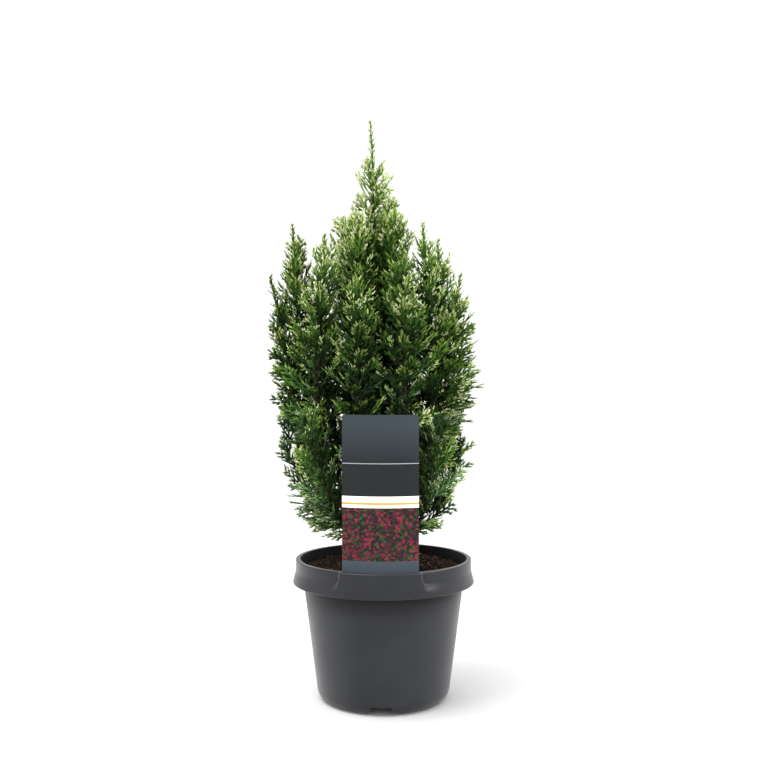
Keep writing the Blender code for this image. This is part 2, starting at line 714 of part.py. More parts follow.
def add_twig(crown, index, collection, root, along, flat, length):
    """One twig with a spray at its end and one on each side. Where the long one would leave the space, a shorter
    one is tried."""
    mass_ceiling = crown.masses[index].ceiling
    for shrink in (1.0, 0.85, 0.7, 0.55, 0.42):
        reach = length * shrink
        end = root + along * (reach * TWIG_SHARE)
        last = min(max(reach * (1.0 - TWIG_SHARE) + SPRAY_ROOT_SUNK, SPRAY_LEAST), SPRAY_MOST)
        tip = end + along * last
        line = [root + along * (reach * share) for share in (0.3, 0.45, TWIG_SHARE)]
        if tip.z > mass_ceiling or not crown.is_free([*line, tip], index, SPACE_MARGIN * 2.0).all():
            continue
        radii = [TWIG_THICKNESS, TWIG_THICKNESS * 0.6]
        object_of("twig", limb([root, end], radii, TWIG_SIDES), FOLIAGE, collection)
        add_spray(crown, index, collection, end - along * SPRAY_ROOT_SUNK, along, flat, last)
        for hand, share in SPRAY_SIDES:
            turned_way = Matrix.Rotation(math.radians(hand * SPRAY_SIDE_ANGLE), 3, flat) @ along
            start = root + along * (reach * TWIG_SHARE * share) - turned_way * SPRAY_ROOT_SUNK * 0.3
            add_spray(crown, index, collection, start, turned_way, flat, last * SPRAY_SIDE_SHARE)
        return


def islands(bm):
    """The separate shapes in a bmesh, each one a list of faces, with the largest last."""
    unseen = set(bm.faces)
    found = []
    while unseen:
        group = [unseen.pop()]
        for face in group:
            for edge in face.edges:
                for other in edge.link_faces:
                    if other in unseen:
                        unseen.remove(other)
                        group.append(other)
        found.append(group)
    return sorted(found, key=len)


def tidy_solid(obj):
    """Welds a fused solid, cuts it in triangles and drops loose scraps. Returns whether it is one closed surface."""
    for way in ("BEAUTY", "EAR_CLIP"):
        bm = bmesh.new()
        bm.from_mesh(obj.data)
        bmesh.ops.remove_doubles(bm, verts=bm.verts, dist=WELD)
        bmesh.ops.triangulate(bm, faces=bm.faces, quad_method="BEAUTY", ngon_method=way)
        scraps = [face for group in islands(bm)[:-1] for face in group]
        bmesh.ops.delete(bm, geom=scraps, context="FACES")
        closed = all(len(edge.link_faces) == 2 for edge in bm.edges)
        if closed:
            bm.to_mesh(obj.data)
        bm.free()
        if closed:
            return True
    return False


def make_mass(crown, index, cutter_needed):
    """Makes a mass, with other turns of its twigs if the first ones don't fuse into one closed surface."""
    for attempt in range(ATTEMPTS):
        rng = random.Random(1000 + 17 * index + 1000 * attempt)
        solid = fused_mass(crown, index, rng)
        if cutter_needed:
            boolean(solid, stem_cutter(), "DIFFERENCE", "MANIFOLD")
        if tidy_solid(solid):
            return
        bpy.data.objects.remove(solid)


def fused_mass(crown, index, rng):
    """Fuses a mass's stem, core, twigs and sprays into one solid."""
    mass = crown.masses[index]
    tip_spray = min(SPRAY_MOST * 0.8, mass.girth * 0.9)
    stem_end = mass.stem_length - tip_spray * 0.8
    line = [mass.stem[0], *part_of(mass.stem, END_STRETCH, stem_end, 0.03)]
    radii = [mass.thickness(mass.mouth + run) for run in lengths_along(line)]
    solid = object_of("foliage_" + mass.name, limb(line, radii, BOUGH_SIDES), FOLIAGE)
    collection = bpy.data.collections.new(mass.name)
    bpy.context.scene.collection.children.link(collection)
    object_of("core", core_of(crown, index), FOLIAGE, collection)
    for root, along, flat, length in twigs_of(mass, rng):
        add_twig(crown, index, collection, root, along, flat, length)
    end, along = place_along(mass.stem, stem_end)
    side, _ = mass.frame(along)
    root = end - along * SPRAY_ROOT_SUNK
    add_spray(crown, index, collection, root, along, side, tip_spray, mass.tip_width)
    boolean(solid, collection, "UNION", "MANIFOLD")
    return solid


def make_bough(mass):
    """The limb from the main stem to the mouth of a mass, its foot cut to the stem's curve."""
    line = part_of(mass.whole, 0.0, mass.mouth - END_STRETCH, 0.014)
    line.append(place_along(mass.whole, mass.mouth)[0])
    radii = [mass.thickness(run) for run in lengths_along(line)]
    bough = object_of("bough_" + mass.name, limb(line, radii, BOUGH_SIDES), BARK)
    boolean(bough, stem_cutter(), "DIFFERENCE")


def main():
    clear_scene()
    make_pot()
    make_soil()
    make_label()
    make_stem()
    crown = Crown([*leader_masses(), *skirt_masses(), *shoulder_masses(), top_mass()])
    for index, mass in enumerate(crown.masses):
        if mass.mouth:
            make_bough(mass)
        make_mass(crown, index, mass.name.startswith("shoulder"))


main()
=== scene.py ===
"""The looks of a potted Lawson cypress, about 0.6 m tall with its pot.

A nursery pot of grey polypropylene holds peat, a printed label in the pocket of its collar, and a young
conifer: a fissured stem, its boughs, and masses of scale-leaved sprays. Each mass grows by the rule of the
part's source, carried on to finer shoots, within the same reach and clear of the same neighbours.

Units are metres and degrees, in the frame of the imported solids: +Z up, the front of the plant towards -Y.
Azimuths run round the stem: 0 is right, 90 is back, 180 is left and 270 is front.
"""

import logging
import math
from dataclasses import dataclass, field
from enum import Enum
from typing import Any, Iterable, Optional, Sequence

import bpy
import numpy as np
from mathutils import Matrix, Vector


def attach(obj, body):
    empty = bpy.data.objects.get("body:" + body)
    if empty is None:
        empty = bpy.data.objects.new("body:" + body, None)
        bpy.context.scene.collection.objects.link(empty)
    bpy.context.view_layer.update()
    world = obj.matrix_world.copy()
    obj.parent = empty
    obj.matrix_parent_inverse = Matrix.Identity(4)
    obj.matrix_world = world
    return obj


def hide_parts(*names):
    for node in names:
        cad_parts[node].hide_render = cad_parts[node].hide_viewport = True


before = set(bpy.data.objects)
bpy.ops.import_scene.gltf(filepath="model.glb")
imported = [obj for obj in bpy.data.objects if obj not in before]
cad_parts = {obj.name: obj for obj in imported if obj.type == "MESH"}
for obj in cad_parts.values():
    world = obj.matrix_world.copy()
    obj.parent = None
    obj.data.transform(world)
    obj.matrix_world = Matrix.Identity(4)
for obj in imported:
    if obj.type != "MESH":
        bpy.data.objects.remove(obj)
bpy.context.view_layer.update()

Array = np.ndarray
Random = np.random.Generator
Tree = bpy.types.NodeTree
Socket = bpy.types.NodeSocket
Piece = bpy.types.Object
Sockets = dict[int | str, Socket]
Stops = Sequence[tuple[float, str]]
Pair = tuple[float, float]
Place = tuple[float, float, float]
Row = tuple[float, ...]

log = logging.getLogger("potted_cypress")

BODY = "root"
MM = 0.001
TINY = 1e-12
UP = np.array((0.0, 0.0, 1.0))
GOLDEN_TURN = 137.508


class Slot(Enum):
    """The record's material slots."""

    PLASTIC = "pot_plastic"
    PEAT = "peat"
    CARD = "label_card"
    BARK = "bark"
    FOLIAGE = "foliage"


class Kind(Enum):
    """Blender's names for the kinds of node that the finishes use."""

    PLACE = "ShaderNodeTexCoord"
    STRETCH = "ShaderNodeMapping"
    NOISE = "ShaderNodeTexNoise"
    CELLS = "ShaderNodeTexVoronoi"
    AXES = "ShaderNodeSeparateXYZ"
    CHANNELS = "ShaderNodeSeparateColor"
    RANGE = "ShaderNodeMapRange"
    MATHS = "ShaderNodeMath"
    RAMP = "ShaderNodeValToRGB"
    MIX = "ShaderNodeMix"
    BUMP = "ShaderNodeBump"


def linear(colour: str) -> tuple[float, float, float, float]:
    """Turns an sRGB hex colour into the linear one that a shader takes.

    Args:
        colour: The colour as "#rrggbb".

    Returns:
        Linear red, green, blue and an alpha of 1.
    """
    shares = [int(colour[k : k + 2], 16) / 255.0 for k in (1, 3, 5)]
    curved = [s / 12.92 if s <= 0.04045 else ((s + 0.055) / 1.055) ** 2.4 for s in shares]
    return (curved[0], curved[1], curved[2], 1.0)


def unit(vectors: Array) -> Array:
    """The same directions at length 1."""
    return vectors / np.maximum(np.linalg.norm(vectors, axis=-1, keepdims=True), TINY)


def dot(a: Array, b: Array) -> Array:
    """The dot product of each pair of vectors, kept as a last axis of one."""
    return np.sum(a * b, axis=-1, keepdims=True)


def compass(azimuth: float) -> Array:
    """The level direction at an azimuth."""
    angle = math.radians(azimuth)
    return np.array((math.cos(angle), math.sin(angle), 0.0))


def smooth_step(values: Array) -> Array:
    """Eases from 0 to 1 as the values go from 0 to 1."""
    held = np.clip(values, 0.0, 1.0)
    return held * held * (3.0 - 2.0 * held)


def add_node(
    tree: Tree,
    kind: Kind,
    settings: Optional[dict[int | str, Any]] = None,
    links: Optional[Sockets] = None,
    out: int | str = 0,
    stops: Stops = (),
) -> Socket:
    """Adds one node with its settings and links.

    Args:
        tree: The node tree that takes it.
        kind: The kind of node.
        settings: Values by input name or input number, or by the node's own property.
        links: The sockets that feed it, by input name or input number.
        out: The name or number of the output that is wanted.
        stops: A ramp's places from 0 to 1, each with its sRGB hex colour.

    Returns:
        That output's socket.
    """
    node = tree.nodes.new(kind.value)
    for name, value in (settings or {}).items():
        if isinstance(name, int) or name in node.inputs:
            node.inputs[name].default_value = value
        else:
            setattr(node, name, value)
    for name, source in (links or {}).items():
        tree.links.new(source, node.inputs[name])
    if stops:
        elements = node.color_ramp.elements
        while len(elements) < len(stops):
            elements.new(0.5)
        for element, (place, colour) in zip(elements, stops):
            element.position = place
            element.color = linear(colour)
    return node.outputs[out]


@dataclass(frozen=True)
class Finish:
    """A material: what it is, how its surface was made, and its plain colour."""

    name: str
    colour: str
    roughness: float
    ior: float = 1.5
    specular: float = 0.5
    sheen: float = 0.0

    def build(self) -> bpy.types.Material:
        """Makes the material once.

        Returns:
            The material, with its pattern in place.
        """
        found = bpy.data.materials.get(self.name)
        if found:
            return found
        made = bpy.data.materials.new(self.name)
        made.use_nodes = True
        shader = made.node_tree.nodes["Principled BSDF"]
        shader.inputs["Base Color"].default_value = linear(self.colour)
        shader.inputs["Roughness"].default_value = self.roughness
        shader.inputs["IOR"].default_value = self.ior
        shader.inputs["Specular IOR Level"].default_value = self.specular
        shader.inputs["Sheen Weight"].default_value = self.sheen
        for name, socket in self.pattern(made.node_tree).items():
            made.node_tree.links.new(socket, shader.inputs[name])
        return made

    def pattern(self, tree: Tree) -> Sockets:
        """The sockets for those of the shader's inputs that vary. A plain finish has none."""
        return {}


@dataclass(frozen=True)
class MouldedPolypropylene(Finish):
    """Recycled polypropylene, injection moulded: an even satin, with dust that pales where light grazes."""

    # The tool's spark-eroded grain is near 0.1 mm, too fine to show, so it is drawn six times as coarse.
    grain: float = 0.6 * MM
    cloud: float = 35.0 * MM
    paler: str = "#27282c"
    gloss_spread: float = 0.05
    # Painted shade under the collar: the dark colour that the wall takes towards it, between two heights,
    # and how much of it shows there. The collar above keeps a little of it.
    sheltered: Optional[str] = None
    shelter: Pair = (0.098, 0.1204)
    shelter_shares: Stops = (
        (0.0, "#000000"), (0.55, "#969696"), (0.88, "#ffffff"), (0.99, "#ffffff"), (1.0, "#8c8c8c"),
    )

    def pattern(self, tree: Tree) -> Sockets:
        """Clouds of flow in the colour and the gloss, the tool's grain, and painted shade under the collar
        where the finish has a colour for it.

        Args:
            tree: The node tree.

        Returns:
            The sockets for the shader's inputs.
        """
        place = add_node(tree, Kind.PLACE, out="Object")
        cloud = add_node(tree, Kind.NOISE, {"Scale": 1.0 / self.cloud, "Detail": 4.0}, {"Vector": place})
        tones = ((0.3, self.colour), (0.75, self.paler))
        tone = add_node(tree, Kind.RAMP, links={"Fac": cloud}, stops=tones)
        low, high = self.roughness - self.gloss_spread, self.roughness + self.gloss_spread
        gloss = {"From Min": 0.3, "From Max": 0.7, "To Min": low, "To Max": high}
        grain = add_node(tree, Kind.NOISE, {"Scale": 1.0 / self.grain, "Detail": 2.0}, {"Vector": place})
        relief = {"Strength": 0.35, "Distance": 0.05 * MM}
        return {
            # Painted shade under the collar, where the finish has a colour for it
            "Base Color": self.darkened(tree, place, tone) if self.sheltered else tone,
            "Roughness": add_node(tree, Kind.RANGE, gloss, {"Value": cloud}),
            "Normal": add_node(tree, Kind.BUMP, relief, {"Height": grain}),
        }

    def darkened(
        self, tree: Tree, place: Socket, tone: Socket
    ) -> Socket:
        """Paints shade on the wall, darkest just under the collar above it, and a little over the collar
        too.

        Args:
            tree: The node tree.
            place: Where each point is.
            tone: The colour elsewhere.

        Returns:
            The colour with the band of painted shade in it.
        """
        low, high = self.shelter
        height = add_node(tree, Kind.AXES, links={"Vector": place}, out="Z")
        rise = add_node(tree, Kind.RANGE, {"From Min": low, "From Max": high}, {"Value": height})
        share = add_node(tree, Kind.RAMP, links={"Fac": rise}, stops=self.shelter_shares)
        dark = {"data_type": "RGBA", 7: linear(self.sheltered)}
        return add_node(tree, Kind.MIX, dark, {0: share, 6: tone}, out=2)


@dataclass(frozen=True)
class SievedPeat(Finish):
    """Damp sphagnum peat, sieved: dark and matt, with red-brown fibre in it."""

    roughness: float = 0.9
    ior: float = 1.4
    specular: float = 0.12
    crumb: float = 1.6 * MM
    patch: float = 11.0 * MM
    tones: tuple[str, ...] = ("#050302", "#0e0906", "#1c120c", "#332116")

    def pattern(self, tree: Tree) -> Sockets:
        """Crumbs in the colour and the relief, and damp patches in the gloss.

        Args:
            tree: The node tree.

        Returns:
            The sockets for the shader's inputs.
        """
        place = add_node(tree, Kind.PLACE, out="Object")
        crumb = add_node(tree, Kind.NOISE, {"Scale": 1.0 / self.crumb, "Detail": 6.0}, {"Vector": place})
        stops = [(0.3 + 0.15 * k, tone) for k, tone in enumerate(self.tones)]
        patch = add_node(tree, Kind.NOISE, {"Scale": 1.0 / self.patch, "Detail": 3.0}, {"Vector": place})
        damp = {"From Min": 0.35, "From Max": 0.65, "To Min": 0.7, "To Max": 1.0}
        relief = {"Strength": 0.9, "Distance": 1.2 * MM}
        return {
            "Base Color": add_node(tree, Kind.RAMP, links={"Fac": crumb}, stops=stops),
            "Roughness": add_node(tree, Kind.RANGE, damp, {"Value": patch}),
            "Normal": add_node(tree, Kind.BUMP, relief, {"Height": crumb}),
        }


@dataclass(frozen=True)
class FissuredBark(Finish):
    """Young cypress bark: thin reddish strips that split lengthwise, grey where weathered."""

    strip: float = 1.3 * MM
    strip_stretch: float = 7.0
    tones: tuple[str, ...] = ("#1c120d", "#3a271c", "#57402f", "#71604f")

    def pattern(self, tree: Tree) -> Sockets:
        """The strips, in the colour and the relief.

        Args:
            tree: The node tree.

        Returns:
            The sockets for the shader's inputs.
        """
        place = add_node(tree, Kind.PLACE, out="Object")
        squeezed = {"Scale": (1.0, 1.0, 1.0 / self.strip_stretch)}
        along = add_node(tree, Kind.STRETCH, squeezed, {"Vector": place})
        strips = add_node(tree, Kind.NOISE, {"Scale": 1.0 / self.strip, "Detail": 5.0}, {"Vector": along})
        stops = [(0.32 + 0.13 * k, tone) for k, tone in enumerate(self.tones)]
        relief = {"Strength": 0.7, "Distance": 0.4 * MM}
        return {
            "Base Color": add_node(tree, Kind.RAMP, links={"Fac": strips}, stops=stops),
            "Normal": add_node(tree, Kind.BUMP, relief, {"Height": strips}),
        }


@dataclass(frozen=True)
class YoungBark(Finish):
    """The thin bark of a twig: brown wood inside, still green under the skin further out."""

    mottle: float = 2.0 * MM
    mottle_stretch: float = 3.0
    paler: str = "#7d6a45"

    def pattern(self, tree: Tree) -> Sockets:
        """A mottle of skin and lenticels.

        Args:
            tree: The node tree.

        Returns:
            The sockets for the shader's inputs.
        """
        place = add_node(tree, Kind.PLACE, out="Object")
        squeezed = {"Scale": (1.0, 1.0, 1.0 / self.mottle_stretch)}
        along = add_node(tree, Kind.STRETCH, squeezed, {"Vector": place})
        mottle = add_node(tree, Kind.NOISE, {"Scale": 1.0 / self.mottle, "Detail": 3.0}, {"Vector": along})
        stops = ((0.35, self.colour), (0.7, self.paler))
        return {"Base Color": add_node(tree, Kind.RAMP, links={"Fac": mottle}, stops=stops)}


@dataclass(frozen=True)
class PrintedFilm(Finish):
    """Polypropylene card, offset printed and sealed with a satin film: an even sheen over flat ink."""

    roughness: float = 0.42
    specular: float = 0.25
    # The print's screen is near 0.15 mm, too fine to show, so it is drawn three times as coarse.
    screen: float = 0.45 * MM
    ink_cloud: float = 14.0 * MM
    other: Optional[str] = None

    def pattern(self, tree: Tree) -> Sockets:
        """The ink's colour, and the film's fine tooth.

        Args:
            tree: The node tree.

        Returns:
            The sockets for the shader's inputs.
        """
        place = add_node(tree, Kind.PLACE, out="Object")
        tooth = add_node(tree, Kind.NOISE, {"Scale": 1.0 / self.screen, "Detail": 3.0}, {"Vector": place})
        relief = {"Strength": 0.2, "Distance": 0.02 * MM}
        return {
            "Base Color": self.ink(tree, place),
            "Normal": add_node(tree, Kind.BUMP, relief, {"Height": tooth}),
        }

    def ink(self, tree: Tree, place: Socket) -> Socket:
        """One ink, laid slightly unevenly.

        Args:
            tree: The node tree.
            place: Where on the card each point is.

        Returns:
            The ink's colour.
        """
        look = {"Scale": 1.0 / self.ink_cloud, "Detail": 3.0}
        cloud = add_node(tree, Kind.NOISE, look, {"Vector": place})
        stops = ((0.3, self.colour), (0.8, self.other or self.colour))
        return add_node(tree, Kind.RAMP, links={"Fac": cloud}, stops=stops)


@dataclass(frozen=True)
class FadedFilm(PrintedFilm):
    """The same film over ink that fades from one colour at the bottom to another at the top."""

    low: float = 0.0
    high: float = 1.0

    def ink(self, tree: Tree, place: Socket) -> Socket:
        """The fade, between two heights.

        Args:
            tree: The node tree.
            place: Where on the card each point is.

        Returns:
            The ink's colour.
        """
        height = add_node(tree, Kind.AXES, links={"Vector": place}, out="Z")
        fade = add_node(tree, Kind.RANGE, {"From Min": self.low, "From Max": self.high}, {"Value": height})
        stops = ((0.0, self.colour), (1.0, self.other))
        return add_node(tree, Kind.RAMP, links={"Fac": fade}, stops=stops)


@dataclass(frozen=True)
class DottedFilm(PrintedFilm):
    """The same film over a field of round printed dots, berry and leaf colours on a dark ground."""

    spacing: float = 2.3 * MM
    dot_share: float = 0.70
    inks: tuple[str, ...] = (
        "#300914", "#561023", "#150c0e", "#14230f", "#6b162a", "#233814", "#3f0c1a", "#0f090a",
    )

    def ink(self, tree: Tree, place: Socket) -> Socket:
        """The dots, each in one of the inks.

        Args:
            tree: The node tree.
            place: Where on the card each point is.

        Returns:
            The colour of dots and ground.
        """
        look = {"Scale": 1.0 / self.spacing, "Randomness": 0.75}
        away = add_node(tree, Kind.CELLS, look, {"Vector": place})
        pick = add_node(tree, Kind.CHANNELS, links={"Color": away.node.outputs["Color"]})
        stops = [(k / len(self.inks), ink) for k, ink in enumerate(self.inks)]
        ink = add_node(tree, Kind.RAMP, links={"Fac": pick}, stops=stops)
        ink.node.color_ramp.interpolation = "CONSTANT"
        inside = add_node(tree, Kind.MATHS, {"operation": "LESS_THAN", 1: self.dot_share}, {0: away})
        ground = {"data_type": "RGBA", 6: linear(self.colour)}
        return add_node(tree, Kind.MIX, ground, {0: inside, 7: ink}, out=2)


@dataclass(frozen=True)
class ScaleLeaf(Finish):
    """Waxy scale leaves, one plain green to a shoot, with a soft sheen."""

    roughness: float = 0.6
    ior: float = 1.45
    specular: float = 0.1


@dataclass(frozen=True)
class StudioPaper(Finish):
    """Seamless background paper, plain and matt."""

    tooth: float = 3.0 * MM

    def pattern(self, tree: Tree) -> Sockets:
        """The paper's faint tooth.

        Args:
            tree: The node tree.

        Returns:
            The sockets for the shader's inputs.
        """
        place = add_node(tree, Kind.PLACE, out="Object")
        tooth = add_node(tree, Kind.NOISE, {"Scale": 1.0 / self.tooth, "Detail": 3.0}, {"Vector": place})
        relief = {"Strength": 0.1, "Distance": 0.05 * MM}
        return {"Normal": add_node(tree, Kind.BUMP, relief, {"Height": tooth})}


# Its near-black colour is painted shade on the wall under the collar
POT_PLASTIC = MouldedPolypropylene(
    "moulded_polypropylene", "#202124", 0.36, 1.49, 0.16, sheen=0.13, sheltered="#020202"
)
# The pot's inside, painted near black as shade
INNER_WALL_SHADE = MouldedPolypropylene(
    "peat_stained_polypropylene", "#070606", 0.6, 1.49, 0.15, paler="#0c0a09"
)
PEAT_BED = SievedPeat("sieved_peat", "#22160f")
STEM_BARK = FissuredBark("fissured_bark", "#3a271c", 0.8, 1.45, 0.3)
INNER_TWIG = YoungBark("brown_twig_bark", "#1c140d", 0.75, 1.45, 0.2, paler="#2c2015")
OUTER_TWIG = YoungBark("green_twig_bark", "#2b3717", 0.65, 1.45, 0.2, paler="#405020")
CRUMBS = (
    SievedPeat("peat_crumb_black", "#0b0705"),
    SievedPeat("peat_crumb_brown", "#1d120c", tones=("#0c0805", "#160e09", "#20140d", "#2a1b12")),
    SievedPeat("peat_crumb_red", "#351f14", tones=("#1a0f09", "#2a1810", "#3a2317", "#4a3021")),
    SievedPeat("peat_fibre_pale", "#5d4430", tones=("#3f2b1d", "#523a28", "#685038", "#7c6246")),
)
# From the darkest green, painted shade deep inside the crown, to the cream of the youngest tips. The lit run
# is yellower; the bluer shade run is painted shade low down.
GREEN_RUNS = {
    "sun": "#070e04 #0d1a08 #172b0d #264014 #3a561e #57732c #7b8f46 #a2ab70 #c2c6a0".split(),
    "shade": "#070e06 #0e1a0c #182a14 #253c1f #39532e #536f3f #728a55 #99a97a #bac4a1".split(),
}
TONE_COUNT = len(GREEN_RUNS["sun"])
GREENS = tuple(
    ScaleLeaf(f"scale_leaf_{run}_{k}", green)
    for run, greens in GREEN_RUNS.items()
    for k, green in enumerate(greens)
)


@dataclass
class Shape:
    """A surface of triangles, with the number of a finish for each."""

    points: Array
    triangles: Array
    tints: Array

    @classmethod
    def joined(cls, shapes: Iterable["Shape"]) -> "Shape":
        """Puts several shapes together as one.

        Args:
            shapes: The shapes, at least one.

        Returns:
            One shape with all their triangles.
        """
        parts = list(shapes)
        starts = np.cumsum([0] + [len(part.points) for part in parts[:-1]])
        return cls(
            np.concatenate([part.points for part in parts]),
            np.concatenate([part.triangles + start for part, start in zip(parts, starts)]),
            np.concatenate([part.tints for part in parts]),
        )

    @classmethod
    def copies(cls, corners: Array, faces: Sequence[tuple[int, int, int]], tints: Array) -> "Shape":
        """Puts together many small shapes that differ only in where their corners are.

        Args:
            corners: Points by shape and by corner.
            faces: The corner numbers of each triangle of one shape.
            tints: A finish number by shape, or by shape and triangle.

        Returns:
            One shape with all of them.
        """
        count, size = corners.shape[:2]
        starts = np.arange(count)[:, None, None] * size
        triangles = (np.array(faces)[None] + starts).reshape(-1, 3)
        numbers = np.broadcast_to(tints.reshape(count, -1), (count, len(faces)))
        return cls(corners.reshape(-1, 3), triangles, numbers.ravel())

    def outwards(self) -> "Shape":
        """Turns a closed shape's triangles to face out.

        Returns:
            The same shape, turned where needed.
        """
        a, b, c = (self.points[self.triangles[:, k]] for k in range(3))
        if np.sum(dot(a, np.cross(b, c))) < 0.0:
            self.triangles = self.triangles[:, ::-1]
        return self

    def piece(
        self,
        name: str,
        finishes: Sequence[Finish],
        slot: Slot,
        nodes: Sequence[str],
        sharp: Optional[float] = None,
    ) -> Piece:
        """Makes the shape a piece that rides on the plant's body.

        Args:
            name: The piece's name.
            finishes: The finishes that its tints number.
            slot: The record's material slot. It is not used.
            nodes: The solids that it stands for.
            sharp: The angle above which an edge stays sharp. None leaves every face flat.

        Returns:
            The new object.
        """
        mesh = bpy.data.meshes.new(name)
        count = len(self.triangles)
        mesh.vertices.add(len(self.points))
        mesh.vertices.foreach_set("co", self.points.astype(np.float32).ravel())
        mesh.loops.add(count * 3)
        mesh.loops.foreach_set("vertex_index", self.triangles.astype(np.int32).ravel())
        mesh.polygons.add(count)
        mesh.polygons.foreach_set("loop_start", np.arange(0, count * 3, 3, dtype=np.int32))
        mesh.polygons.foreach_set("material_index", self.tints.astype(np.int32))
        mesh.update(calc_edges=True)
        for finish in finishes:
            mesh.materials.append(finish.build())
        made = bpy.data.objects.new(name, mesh)
        bpy.context.scene.collection.objects.link(made)
        settle(made, nodes, sharp)
        return made


def settle(piece: Piece, nodes: Sequence[str], sharp: Optional[float]) -> None:
    """Shades a piece, hangs it on the plant's body, and hides the solids that it stands for.

    Args:
        piece: The finished piece.
        nodes: The solids that it stands for.
        sharp: The angle above which an edge stays sharp, or None for flat faces.
    """
    if sharp is not None:
        piece.data.shade_smooth()
        piece.data.set_sharp_from_angle(angle=math.radians(sharp))
    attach(piece, BODY)
    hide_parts(*nodes)


def between_rings(count: int, sides: int) -> Array:
    """The triangles between rings of points, two to each square.

    Args:
        count: How many rings there are.
        sides: How many points go round each.

    Returns:
        Three point numbers to a row: the lower triangle of every square, then the upper ones.
    """
    here = np.arange(sides)
    after = (here + 1) % sides
    rows = np.arange(count - 1)[:, None] * sides
    lower = np.stack((rows + here, rows + after, rows + sides + after), axis=-1)
    upper = np.stack((rows + here, rows + sides + after, rows + sides + here), axis=-1)
    return np.concatenate((lower.reshape(-1, 3), upper.reshape(-1, 3)))


def skin(rings: Array, tints: Optional[Array] = None) -> Shape:
    """Skins rings of points, and closes each end by a fan.

    Args:
        rings: Points by ring and by place in the ring.
        tints: A finish number for each band between rings.

    Returns:
        The closed shape.
    """
    count, sides = rings.shape[:2]
    here = np.arange(sides)
    after = (here + 1) % sides
    top = (count - 1) * sides
    foot = np.stack((after, here, np.full(sides, count * sides)), axis=-1)
    head = np.stack((top + here, top + after, np.full(sides, count * sides + 1)), axis=-1)
    points = np.concatenate((rings.reshape(-1, 3), [rings[0].mean(axis=0), rings[-1].mean(axis=0)]))
    bands = np.repeat(np.zeros(count - 1, int) if tints is None else tints, sides)
    numbers = np.concatenate((bands, bands, bands[:sides], bands[-sides:]))
    return Shape(points, np.concatenate((between_rings(count, sides), foot, head)), numbers)


@dataclass(frozen=True)
class Ripple:
    """An uneven surface: waves in seeded directions, each layer finer and lower than the last."""

    size: float
    height: float
    seed: int
    layers: int = 4
    waves: int = 7
    finer: float = 1.9
    lower: float = 0.55
    pitch_spread: Pair = (0.8, 1.25)

    def at(self, places: Array) -> Array:
        """The height at each place.

        Args:
            places: Points of two or three coordinates, one to a row.

        Returns:
            A height for each, above and below zero.
        """
        rng = np.random.default_rng(self.seed)
        total = np.zeros(len(places))
        for layer in range(self.layers):
            ways = unit(rng.normal(size=(self.waves, places.shape[1])))
            lags = rng.uniform(0.0, math.tau, self.waves)
            pitch = math.tau / self.size * self.finer**layer * rng.uniform(*self.pitch_spread, self.waves)
            waves = np.cos(places @ (ways * pitch[:, None]).T + lags)
            total += waves.sum(axis=1) / math.sqrt(self.waves) * self.lower**layer
        return total * self.height


@dataclass(frozen=True)
class Corner:
    """A corner of a turned cross-section, how far it is rounded, and how many steps the run after it has."""

    radius: float
    height: float
    fillet: float = 0.0
    steps: int = 1


def outline(corners: Sequence[Corner], arc_steps: int = 5) -> Array:
    """Draws a cross-section with rounded corners.

    Args:
        corners: Its corners in order.
        arc_steps: How many steps each rounded corner has.

    Returns:
        Radius and height of each point. The count depends only on the steps, so like outlines match.
    """
    places = np.array([(corner.radius, corner.height) for corner in corners])
    bends = []
    for k, corner in enumerate(corners):
        if not corner.fillet:
            bends.append(places[k : k + 1])
            continue
        before = unit(places[k - 1] - places[k])
        after = unit(places[k + 1] - places[k])
        half = math.acos(float(np.clip(before @ after, -1.0, 1.0))) / 2.0
        middle = places[k] + unit(before + after) * corner.fillet / math.sin(half)
        first = places[k] + before * corner.fillet / math.tan(half) - middle
        last = places[k] + after * corner.fillet / math.tan(half) - middle
        sweep = math.pi - 2.0 * half
        shares = np.linspace(0.0, 1.0, arc_steps + 1)[:, None]
        swung = first * np.sin((1 - shares) * sweep) + last * np.sin(shares * sweep)
        bends.append(middle + swung / math.sin(sweep))
    points = []
    for bend, following, corner in zip(bends, [*bends[1:], None], corners):
        points.extend(bend)
        if following is not None:
            gap = following[0] - bend[-1]
            points.extend(bend[-1] + gap * n / corner.steps for n in range(1, corner.steps))
    return np.array(points)


def cut_away(piece: Piece, cutter: Shape) -> None:
    """Cuts a closed shape out of a piece.

    Args:
        piece: The piece, whose mesh is replaced.
        cutter: The closed shape to take away.
    """
    mesh = bpy.data.meshes.new("cutter")
    mesh.from_pydata(cutter.points.tolist(), [], cutter.triangles.tolist())
    tool = bpy.data.objects.new("cutter", mesh)
    bpy.context.scene.collection.objects.link(tool)
    modifier = piece.modifiers.new("Cut", "BOOLEAN")
    modifier.operation = "DIFFERENCE"
    modifier.solver = "MANIFOLD"
    modifier.object = tool
    bpy.context.view_layer.update()
    graph = bpy.context.evaluated_depsgraph_get()
    made = bpy.data.meshes.new_from_object(piece.evaluated_get(graph))
    piece.modifiers.clear()
    piece.data = made
    bpy.data.objects.remove(tool)


